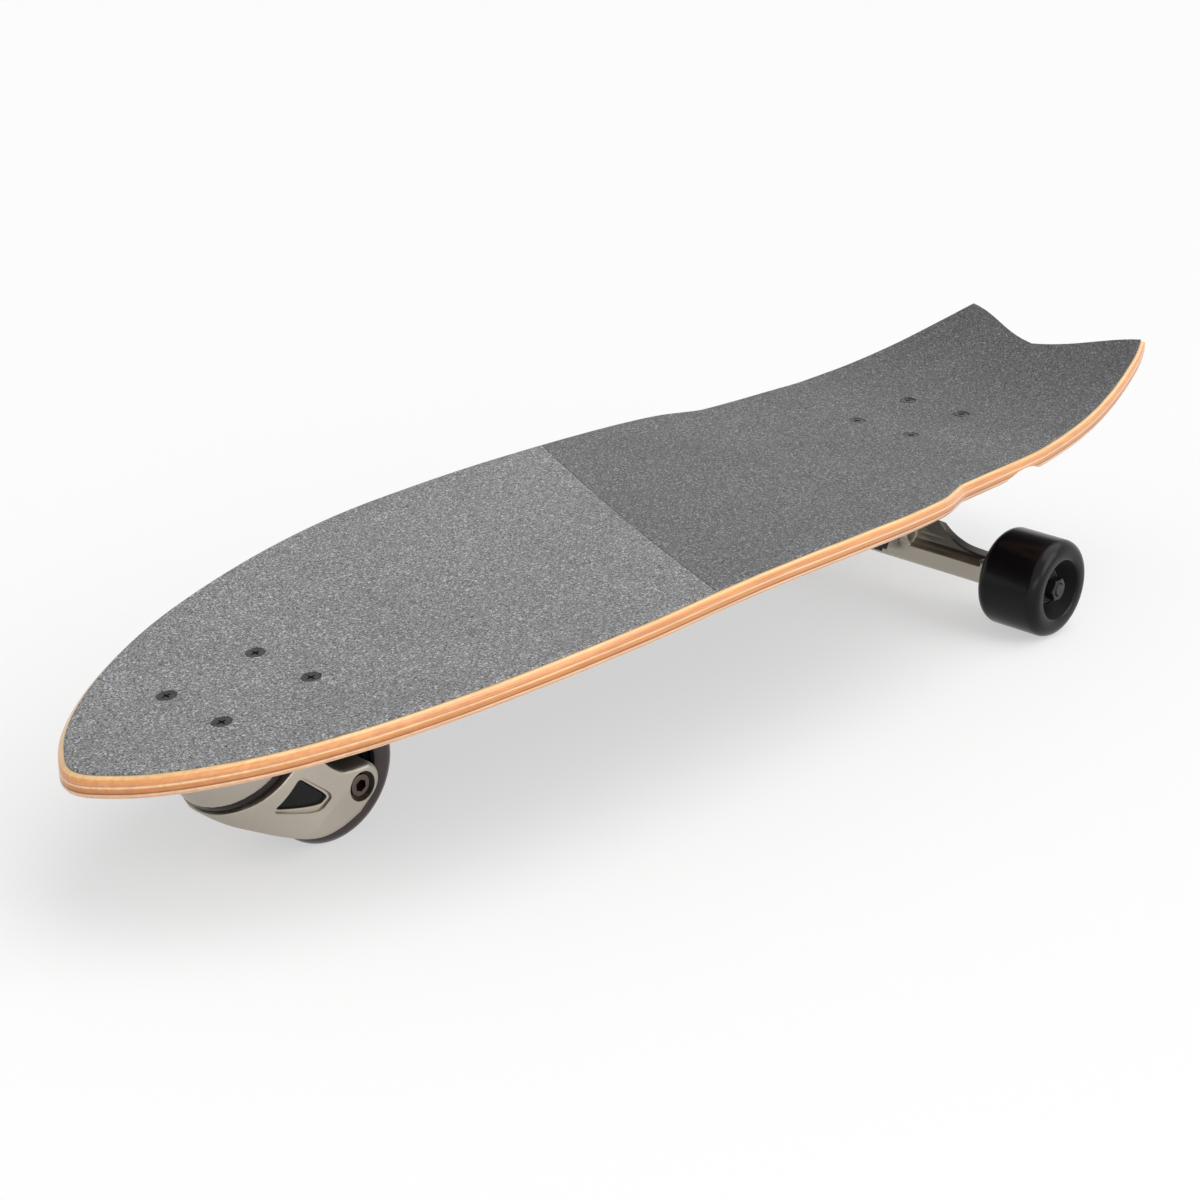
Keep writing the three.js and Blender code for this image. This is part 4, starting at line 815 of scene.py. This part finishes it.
def seat_slack(bolt_x, pitch, length, width):
    """How far a flat plate lies below its mount to clear the deck's underside."""
    slack = 0
    for along in (-length / 2, -length / 4, length / 4, length / 2):
        for y in (0, width / 2):
            flat = deck_top(bolt_x, 0) - along * math.tan(pitch)
            slack = max(slack, flat - deck_top(bolt_x + along, y))
    return slack + PLATE_GAP


FRONT_SLACK = seat_slack(FRONT_BOLT_X, FRONT_PITCH, PLATE_LENGTH, PLATE_WIDTH)
FRONT_SEAT = -FRONT_SLACK - PLATE_THICKNESS + FRONT_NUT_SINK
REAR_SEAT = -RISER_THICKNESS - REAR_PLATE_THICKNESS
# Each end's frame, the rises of its bolt heads and the height at which its nuts seat.
MOUNTS = {
    "front": (front_mount, bolt_rises(FRONT_BOLT_X, FRONT_PITCH), FRONT_SEAT),
    "rear": (rear_mount, bolt_rises(REAR_BOLT_X, 0), REAR_SEAT),
}


def head_top(rise):
    return DECK_THICKNESS + GRIP_HIGH - HEAD_SINK + rise


def bolt_holes():
    """Cutters for the deck bolts' holes, wide at the top for their heads."""
    low, wide = -40, BOLT_HEAD_RADIUS + 0.5
    tools = []
    for place, rises, _ in MOUNTS.values():
        for (x, y), rise in zip(BOLT_PLACES, rises):
            top = head_top(rise)
            profile = [
                (0, low), (BOLT_HOLE, low), (BOLT_HOLE, top - 3.2),
                (wide, top - 0.3), (wide, top + OVERRUN), (0, top + OVERRUN),
            ]
            tools.append(lathe("hole", profile, 40, shifted(place, x, y)))
    return tools


def stain_at(x, y, z, depth):
    """Positive where the underside is stained, negative in the wells and on the edge."""
    well = well_height(x, y)
    low_enough = STAIN_MOST if z <= well + 0.01 else (depth - STAIN_DEPTH) * STAIN_RATE
    return min(deck_top(x, y) - DECK_THICKNESS - well, low_enough)


def add_deck():
    top = [(EDGE_ROUND * (1 - math.sin(a)), -EDGE_ROUND * (1 - math.cos(a)))
           for a in quarter_turn(6)]
    sides = [(0, -EDGE_ROUND - k) for k in range(1, DECK_THICKNESS - 2 * EDGE_ROUND)]
    low = [(inset, -DECK_THICKNESS - rise) for inset, rise in reversed(top)]
    deck = skin("deck_board", top + sides + low, wells=True)
    cut(deck, *bolt_holes())
    mesh = deck.data
    for name in ("ply", "stained"):
        mesh.attributes.new(name, "FLOAT", "POINT")
    depths, stains = mesh.attributes["ply"].data, mesh.attributes["stained"].data
    for vertex, depth, stain in zip(mesh.vertices, depths, stains):
        x, y, z = (c / MM for c in vertex.co)
        depth.value = (deck_top(x, y) - z) / DECK_THICKNESS
        stain.value = stain_at(x, y, z, depth.value)
    dress(deck, "deck")


def add_grip():
    edge = [(0.5, GRIP_HIGH), (0.2, GRIP_HIGH - 0.1), (0, GRIP_HIGH - 0.4), (0, GRIP_LOW)]
    seam = frame_at(SEAM_FORWARD, 0, 0) @ Matrix.Rotation(-SEAM_ANGLE, 4, "Z")
    low, high = -50, 300
    for node, side in (("grip_tape_nose", 1), ("grip_tape_tail", -1)):
        sheet = skin(node, [(GRIP_INSET + inset, rise) for inset, rise in edge])
        near, far = sorted((side * SEAM_GAP / 2, side * DECK_LENGTH))
        half = block(near, far, -DECK_LENGTH, DECK_LENGTH, low, high, seam)
        combine(sheet, ("INTERSECT", half), *[("DIFFERENCE", hole) for hole in bolt_holes()])
        dress(sheet, node)


def hexagon(across_flats):
    radius = across_flats / math.sqrt(3)
    return [polar(radius, math.pi / 3 * k) for k in range(6)]


def hex_nut(across_flats, low, high, bore, place):
    """A hexagon nut with chamfered corners and a bore."""
    nut = prism("nut", hexagon(across_flats), low, high, place)
    corner = across_flats / math.sqrt(3)
    chamfer = (corner - across_flats / 2) * 0.54
    face, out = across_flats / 2 - 0.1, 0.01
    profile = [
        (0, low - out), (face, low - out), (corner, low + chamfer),
        (corner, high - chamfer), (face, high + out), (0, high + out),
    ]
    turned = lathe("turned", profile, 48, place)
    hole = rod(bore, low - OVERRUN, high + OVERRUN, place, 40)
    return combine(nut, ("INTERSECT", turned), ("DIFFERENCE", hole))


def cross_recess(top, place):
    """The four-winged recess of a screw head, narrowing with depth."""
    tools = []
    for turn in (0, math.pi / 2):
        layers = []
        for z, long, wide in ((top - 1.7, 1.5, 0.35), (top + 1, 3.1, 0.66)):
            layers.append([(-long, -wide, z), (long, -wide, z), (long, wide, z), (-long, wide, z)])
        tools.append(loft("wing", layers, place @ Matrix.Rotation(turn, 4, "Z")))
    return tools


def threaded(radius, low, high, pitch=1.0, depth=0.25):
    """Profile points of a threaded length."""
    count = max(int((high - low) / pitch), 1)
    step = (high - low) / count
    points = []
    for k in range(count):
        points += [(radius, low + step * (k + 0.25)), (radius - depth, low + step * (k + 0.75))]
    return points


def add_fasteners():
    for end, (place, rises, seat) in MOUNTS.items():
        nut_high = seat - NUT_GAP
        nut_low = nut_high - NUT_HEIGHT
        tip = nut_low - BOLT_TAIL
        for i, ((x, y), rise) in enumerate(zip(BOLT_PLACES, rises), 1):
            spot = shifted(place, x, y)
            top = head_top(rise)
            profile = [
                (0, tip), (BOLT_RADIUS - 0.5, tip), (BOLT_RADIUS, tip + 0.5),
                *threaded(BOLT_RADIUS, tip + 0.6, tip + THREAD_LENGTH, THREAD_PITCH),
                (BOLT_RADIUS, top - 2.9), (BOLT_HEAD_RADIUS, top - 0.28),
                (BOLT_HEAD_RADIUS + 0.03, top - 0.14), (BOLT_HEAD_RADIUS - 0.15, top), (0, top),
            ]
            bolt = lathe("bolt", profile, 40, spot)
            cut(bolt, *cross_recess(top, spot))
            dress(bolt, f"{end}_deck_bolt_{i}", degrees=30)
            nut = hex_nut(NUT_FLATS, nut_low, nut_high, BOLT_HOLE, spot)
            dress(nut, f"{end}_lock_nut_{i}", degrees=30)


def tyre(label, place, radius, width, bowl, bore):
    """A tyre with a hollow of radius bowl in each face, down to the bearing's seat."""
    half, edge = width / 2, 7
    upper = [polar(edge, a, radius - edge, half - edge) for a in quarter_turn(10)] + [
        (bowl + 1.6, half - 0.1),
        (bowl + 0.5, half - 0.35),
        (bowl - 0.3, half - 1.1),
        (bowl - 1.4, half - 2.6),
        (max(bore + 2.6, bowl - 6.5), CORE_HALF + 2.2),
        (max(bore + 1.2, bowl - 8), CORE_HALF + 0.6),
        (bore + 0.9, CORE_HALF + 0.3),
        (bore, CORE_HALF + 0.3),
    ]
    lower = [(reach, -out) for reach, out in reversed(upper)]
    piece = lathe(label, lower + upper, 120, place, closed=True)
    dress(piece, f"{label}_tyre", degrees=50)
    second_finish(piece, "matte_black", place, 0, bowl - 0.4)


def bearing(place, low, high, inner, outer, node, slot="bright_steel"):
    """A ball bearing: two races with a recessed shield between them on both sides."""
    race_in, race_out, sink = inner + 2.0, outer - 1.7, 0.5
    profile = fillet([
        (inner, low), (race_in, low), (race_in, low + sink), (race_out, low + sink),
        (race_out, low), (outer, low), (outer, high), (race_out, high),
        (race_out, high - sink), (race_in, high - sink), (race_in, high), (inner, high),
    ], 0.25, closed=True, parts=2)
    piece = lathe("bearing", profile, 56, place, closed=True)
    dress(piece, node, slot=slot, degrees=30)
    second_finish(piece, "black_plastic", place, race_in, race_out)


def add_wheel(label, place, radius, width, bowl, bore):
    tyre(label, place, radius, width, bowl, bore)
    for side, low in (("inner", -CORE_HALF), ("outer", CORE_HALF - BEARING_WIDTH)):
        node = f"{label}_bearing_{side}"
        bearing(place, low, low + BEARING_WIDTH, AXLE_HOLE, BEARING_RADIUS, node, "black_steel")


def add_wheels():
    """Each wheel's own Z points outwards, the front one's to the left."""
    core, step, near = 21, 9, 4.7
    add_wheel("front_wheel", front_axle, radius=37.2, width=40, bowl=24, bore=core + 0.3)
    half_core = [(step, near), (BEARING_SEAT, near), (BEARING_SEAT, CORE_HALF), (core, CORE_HALF)]
    profile = [(radius, -z) for radius, z in half_core] + half_core[::-1]
    piece = lathe("core", fillet(profile, 0.4, closed=True, parts=2), 96, front_axle, closed=True)
    dress(piece, "front_wheel_core")
    for label, side in (("rear_wheel_left", 1), ("rear_wheel_right", -1)):
        spot = shifted(Matrix.Identity(4), REAR_AXLE_X, side * HALF_TRACK, REAR_WHEEL_RADIUS)
        place = spot @ Matrix.Rotation(-side * math.pi / 2, 4, "X")
        add_wheel(label, place, radius=REAR_WHEEL_RADIUS, width=43, bowl=19, bore=BEARING_SEAT)


# Outlines of the fork, as shares of its trail and drop from the foot of the swivel.
UNDERSIDE = [
    (1.24, -0.08), (1.14, -0.22), (0.94, -0.4), (0.7, -0.63), (0.21, -1.03), (-0.2, -1.19),
    (-0.67, -1.275),
]
BACK = [(-1.1, -0.72), (-0.91, -0.62), (-0.79, -0.46), (-0.74, -0.3)]
BOSS_END = (-1.386, -0.848)
WINDOW = [(-0.2, -0.185), (0.49, -0.245), (-0.16, -0.66), (-0.4, -0.672)]
WINDOW_ROUND = (0.12, 0.1, 0.3, 0.3)
# Shifts of the window's corners to those of the groove beside it, in millimetres.
GROOVE_OUTER = [(-0.9, 0.6), (1.6, -1.4), (2.0, -3.4), (-2.6, -2.6)]
GROOVE_INNER = [(-0.5, 1.2), (0.9, -0.2), (0.7, -1.3), (-1.2, -1.0)]


def scaled(shares):
    return [Vector((x * TRAIL, y * DROP)) for x, y in shares]


def fork_outline():
    """The fork from its side: the crown, the underside, the boss and the back."""
    boss_end = scaled([BOSS_END])[0]
    leave = math.atan2(boss_end.y + DROP, boss_end.x + TRAIL) - 2 * math.pi
    start = -math.pi * 0.53
    boss = []
    for k in range(25):
        a = start + (leave - start) * k / 24
        boss.append(polar(12 - 1.4 * max(0, -math.sin(a)) ** 2, a, -TRAIL, -DROP))
    crown = 3
    return [
        (BACK[-1][0] * TRAIL, crown), (35, crown),
        *curve(scaled(UNDERSIDE), 48),
        *boss,
        *curve(scaled(BACK), 16),
    ]


def window_outline(grow=0, shifts=((0, 0),) * 4):
    """The window's rounded outline, grown from its middle and then shifted at each corner."""
    corners = scaled(WINDOW)
    middle = sum(corners, Vector((0, 0))) / len(corners)
    grown = [corner + (corner - middle).normalized() * grow + Vector(shift)
             for corner, shift in zip(corners, shifts)]
    points = []
    for i, (corner, share) in enumerate(zip(grown, WINDOW_ROUND)):
        before, after = grown[i - 1], grown[(i + 1) % len(grown)]
        points += round_off(corner.lerp(before, share), corner, corner.lerp(after, share), 8)
    return points


def on_blade(outline, near, far, side):
    """A prism across one blade of the fork, between two distances from its middle plane."""
    low, high = sorted((-side * near, -side * far))
    return prism("blade_prism", outline, low, high, from_side(swivel))


def fork_cheeks(inset=0):
    """The fork seen from above: as wide as the ring at its top and wider at its foot."""
    arc = [polar(CROWN_RADIUS, -math.pi / 2 + math.pi * k / 48) for k in range(49)]
    outline = [(-66, -CROWN_RADIUS), *arc, (-66, CROWN_RADIUS)]
    layers = []
    for level, reach, half in (
        (-66, FORK_HALF, FORK_HALF), (-36, FORK_HALF, FORK_HALF), (-2, 32.3, 34.3),
    ):
        long, wide = (reach - inset) / CROWN_RADIUS, (half - inset) / CROWN_RADIUS
        layers.append([(x * long if x > 0 else x, y * wide, level) for x, y in outline])
    return loft("cheeks", layers, swivel)


def inset_outline(outline, inset):
    """A closed outline, listed clockwise, moved inwards."""
    moved = []
    for k, corner in enumerate(outline):
        before, after = Vector(outline[k - 1]), Vector(outline[(k + 1) % len(outline)])
        along = (after - before).normalized()
        moved.append((corner[0] + along.y * inset, corner[1] - along.x * inset))
    return moved


def pillow(name, outline, half, edge, place):
    """A prism of the given half thickness whose rims are rounded."""
    rims = [(edge * (1 - math.sin(a)), -half + edge * (1 - math.cos(a))) for a in quarter_turn(5)]
    rims += [(inset, -z) for inset, z in reversed(rims)]
    layers = [[(x, y, z) for x, y in inset_outline(outline, inset)] for inset, z in rims]
    return loft(name, layers, place)


def add_fork():
    """The fork is cut from a rounded slab by its plan, cast and then bored and cut out."""
    far = 2 * FORK_HALF
    side = pillow("fork", fork_outline(), FORK_HALF, 3, from_side(swivel))
    crown = lathe("crown", [(0, -6.3), (32.875, -6.3), (CROWN_RADIUS, 0), (0, 0)], 120, swivel)
    plan = join(fork_cheeks(), crown)
    swing = [(36.5, OVERRUN), (36.5, -3), (48, -14.5), (48, OVERRUN)]
    cut(plan, lathe("swing_room", swing, 120, swivel, closed=True))
    wheel_room = rod(39.4, -22, 22, front_axle, 120)
    combine(side, ("INTERSECT", plan), ("DIFFERENCE", wheel_room))
    bosses = [rod(8, 12.6, 26, front_axle), rod(8, -26, -12.6, front_axle)]
    join(side, rod(7.4, -1, 3.8, swivel), *bosses)
    cast(side, 0.42, 9, 60000)
    head_room = [(0, -66), (9.6, -66), (9.6, -4.3), (5.6, -0.3), (5.6, 8), (0, 8)]
    seal_room = [(28.1, -2), (44, -2), (44, OVERRUN), (28.1, OVERRUN)]
    tools = [
        rod(AXLE_HOLE, -far, far, front_axle),
        rod(7.8, 27.5, far, front_axle),
        rod(7.8, -far, -27.5, front_axle),
        lathe("head_room", head_room, 56, swivel),
        lathe("seal_room", seal_room, 120, swivel, closed=True),
    ]
    for hand in (1, -1):
        tools.append(on_blade(window_outline(), WINDOW_FLOOR, far, hand))
        groove = on_blade(window_outline(shifts=GROOVE_OUTER), 28, far, hand)
        rim = on_blade(window_outline(shifts=GROOVE_INNER), 24, 80, hand)
        tools.append(cut(groove, rim, fork_cheeks(2.1)))
    cut(side, *tools)
    dress(side, "swivel_fork", degrees=32)
    for hand, node in ((1, "fork_window_left"), (-1, "fork_window_right")):
        insert = on_blade(window_outline(-0.4), WINDOW_FLOOR + 0.3, far, hand)
        combine(insert, ("INTERSECT", fork_cheeks(1.5)))
        dress(cast(insert, 0.3, 3, 6000), node)


def socket_head(place, low, high, open_high):
    """A round head with a hexagon socket in its high or its low end."""
    radius, flats, deep, out = 5.8, 5.8, 4, 3
    profile = fillet([(0, low), (radius, low), (radius, high), (0, high)], 0.7, parts=4)
    start, end = (high - deep, high + out) if open_high else (low - out, low + deep)
    socket = prism("socket", hexagon(flats), start, end, place)
    return cut(lathe("head", profile, 72, place), socket)


def add_front_axle():
    """The bolt from the left and the sleeve nut from the right."""
    near, far, root = 27.8, 35.8, 28.2
    bolt = join(socket_head(front_axle, near, far, True), rod(AXLE_RADIUS, -21.7, root, front_axle))
    nut = join(socket_head(front_axle, -far, -near, False),
               rod(AXLE_RADIUS, -root, -22, front_axle))
    for piece, node in ((bolt, "front_axle_bolt"), (nut, "front_axle_sleeve_nut")):
        dress(piece, node, finish="smoked_steel", degrees=30)


def rounded_rectangle(length, width, corner):
    points = []
    x, y = length / 2 - corner, width / 2 - corner
    for quarter, (sx, sy) in enumerate(((1, 1), (-1, 1), (-1, -1), (1, -1))):
        for k in range(13):
            points.append(polar(corner, math.pi / 2 * (quarter + k / 12), sx * x, sy * y))
    return points


def add_front_base():
    """The plate and the stem that widens from the swivel's ring up to it."""
    plate_top = -FRONT_SLACK
    plate_low = plate_top - PLATE_THICKNESS
    outline = rounded_rectangle(PLATE_LENGTH, PLATE_WIDTH, PLATE_CORNER)
    plate = prism("base", outline, plate_low, plate_top, front_mount)
    gap, height = 3.2, 111
    wide = CROWN_RADIUS + 5 * height / 88
    stem_profile = [(0, gap), (CROWN_RADIUS, gap), (wide, gap + height), (0, gap + height)]
    stem = lathe("stem", stem_profile, 120, swivel)
    far, end = PLATE_LENGTH, PLATE_LENGTH / 2
    combine(stem, ("INTERSECT", block(-end, end + 5, -far, far, -far, plate_top, front_mount)))
    join(plate, stem)
    cut(plate, rod(FORK_HALF, -far, gap, swivel, 96))
    cast(plate, 0.42, 6, 40000)
    bore, seat_top, nut_room = 9.85, 14.55, 9.94
    socket = [
        (0, -OVERRUN), (bore, -OVERRUN), (bore, seat_top), (nut_room, seat_top), (nut_room, far),
        (0, far),
    ]
    tools = [lathe("socket", socket, 56, swivel)]
    room_radius = NUT_FLATS / math.sqrt(3) + 1.4
    low = FRONT_SEAT - NUT_HEIGHT - BOLT_TAIL - OVERRUN
    for x, y in BOLT_PLACES:
        y0, y1 = sorted((y, math.copysign(far, y)))
        slot = block(x - room_radius, x + room_radius, y0, y1, low, plate_low, front_mount)
        spot = shifted(front_mount, x, y)
        tools.append(join(slot, rod(room_radius, low, FRONT_SEAT, spot, 40)))
        tools.append(rod(BOLT_HOLE, low, plate_top + OVERRUN, spot, 32))
    cut(plate, *tools)
    dress(plate, "front_base_plate", degrees=32)


def add_swivel_parts():
    seal = fillet([(28.4, -1.6), (31.4, -1.6), (31.4, 2.9), (28.4, 2.9)], 1.3, closed=True, parts=5)
    dress(lathe("seal", seal, 120, swivel, closed=True), "swivel_seal")
    race, width, shaft, key, nut_flats = 9.5, 5, 5, 5, 16
    for side, low in (("lower", 4.1), ("upper", 9.4)):
        bearing(swivel, low, low + width, SWIVEL_BOLT_HOLE, race, f"swivel_bearing_{side}")
    profile = fillet([(0, -4.3), (9, -4.3), (shaft, -0.3), (shaft, 20), (0, 20)], 0.4)
    body = lathe("swivel_bolt", profile, 56, swivel)
    cut(body, prism("socket", hexagon(key), -8, -2.3, swivel))
    dress(body, "swivel_bolt", degrees=30)
    dress(hex_nut(nut_flats, 14.7, 19.7, SWIVEL_BOLT_HOLE, swivel), "swivel_nut", degrees=30)


def share_between(value, low, high):
    """0 up to low, 1 from high."""
    return min(max((value - low) / (high - low), 0), 1)


def hanger_block(truck):
    """The front outline cut to the side outline, with the bar turned at its ends."""
    half = HANGER_HALF
    knots = [(72, -60), (61, -59.7), (51, -58), (43.5, -54.6), (38, -49.8), (34, -44), (31, -36)]
    wing = curve([Vector(knot) for knot in knots], 40)
    front = [(-half, -77.2), (half, -77.2), (half, -60), *wing, (16, -13.3), (-16, -13.3)]
    front += [(-y, z) for y, z in reversed(wing)] + [(-half, -60)]
    side = [
        (-1.2, -77.6), (10, -77.6), (14, -73.9), (14, -62.7), (30.9, -43.2), (27.5, -36),
        (3.1, -47.4), (-1.2, -59), (-5.2, -62.7), (-5.2, -73.9),
    ]
    envelope = [
        (0, -half), (10.8, -half), (10.8, -79), (89.8, 0), (10.8, 79), (10.8, half), (0, half),
    ]
    seen_from_front = rear_mount @ Matrix(((0, 0, 1, 0), (1, 0, 0, 0), (0, 1, 0, 0), (0, 0, 0, 1)))
    return combine(
        prism("hanger", front, -60, 60, seen_from_front),
        ("INTERSECT", prism("side", side, -2 * half, 2 * half, from_side(rear_mount))),
        ("INTERSECT", lathe("envelope", envelope, 96, truck)),
    )


def add_hanger():
    """An axle bar, scooped wings up to the kingpin's ring, and the pivot's stem."""
    truck = across(rear_mount, AXLE_FORWARD, -TRUCK_HEIGHT - RISER_THICKNESS)
    kingpin = rear_mount @ frame_at(17, -45.3, math.radians(-25))
    pivot = rear_mount @ frame_at(-28, -27.3, math.atan2(-27.6, 31.7))
    ring, bore, bushing, half_ring, ball_radius = 15.5, 7.4, 13.4, 4, 5
    body = hanger_block(truck)
    beyond_ring = block(17, 60, -44, 44, -88, -8, rear_mount)
    cut(body, cut(beyond_ring, rod(ring, -44, 44, kingpin, 96)))
    ball = [polar(ball_radius, a) for a in quarter_turn(8)[:-1]]
    profile = [(0, -42), (7.5, -42), (ball_radius, -11), *ball, (0, ball_radius)]
    join(body, rod(ring, -half_ring, half_ring, kingpin, 96), lathe("stem", profile, 56, pivot))
    scoop = [
        (17, -66), (10.8, -63.6), (8, -60.8), (7.4, -56), (8, -50), (9.6, -44), (13, -30),
        (40, -30), (40, -66),
    ]
    for hand in (1, -1):
        low, high = sorted((hand * 16.5, hand * 70))
        cut(body, prism("scoop", scoop, low, high, from_side(rear_mount)))
    cast(body, 0.5, 9, 50000)
    cut(body, rod(bore, -32, 32, kingpin), rod(bushing, -60, -half_ring, kingpin),
        rod(bushing, half_ring, 30, kingpin),
        rod(AXLE_HOLE, -2 * HANGER_HALF, 2 * HANGER_HALF, truck))
    # Painted shade: hollow marks the wings' scooped recess, which the alloy darkens.
    hollow = body.data.attributes.new("hollow", "FLOAT", "POINT")
    back = rear_mount.inverted()
    for vertex, value in zip(body.data.vertices, hollow.data):
        x, y, z = (c / MM for c in back @ vertex.co)
        recess_shade = share_between(abs(y), 16, 22) * share_between(z, -64, -61.5)
        value.value = recess_shade if x > -4 else 0
    dress(body, "rear_hanger", degrees=40)


def add_castings():
    """The solids that need only rounder edges."""
    dress(cast(copy_of("rear_base_plate"), 0.5, 7, 40000), "rear_base_plate", degrees=40)
    dress(cast(copy_of("riser_pad"), 0.6, 3, 16000), "riser_pad", degrees=40)


def add_rear_axle():
    low, high = (c.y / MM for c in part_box("rear_axle"))
    full, end, bare = AXLE_RADIUS, AXLE_RADIUS - 0.6, 9.5
    profile = [
        (0, low), (end, low), *threaded(full, low + 0.4, low + 9), (full, low + bare),
        (full, high - bare), *threaded(full, high - 9, high - 0.4), (end, high), (0, high),
    ]
    dress(lathe("axle", profile, 48, rear_axle), "rear_axle", slot="black_steel", degrees=30)
    for side in ("left", "right"):
        node = f"axle_nut_{side}"
        low, high = (c.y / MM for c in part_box(node))
        dress(hex_nut(AXLE_NUT_FLATS, low, high, AXLE_HOLE, rear_axle), node, degrees=30)


add_camera()
add_world()
add_floor()
add_lights()
add_deck()
add_grip()
add_fasteners()
add_wheels()
add_fork()
add_front_axle()
add_front_base()
add_swivel_parts()
add_hanger()
add_castings()
add_rear_axle()

# The other solids are shown as they are.
for node, obj in nodes.items():
    if node not in dressed:
        obj.data.materials.clear()
        obj.data.materials.append(finishes[slots[node]])
        shade(obj.data, 35)
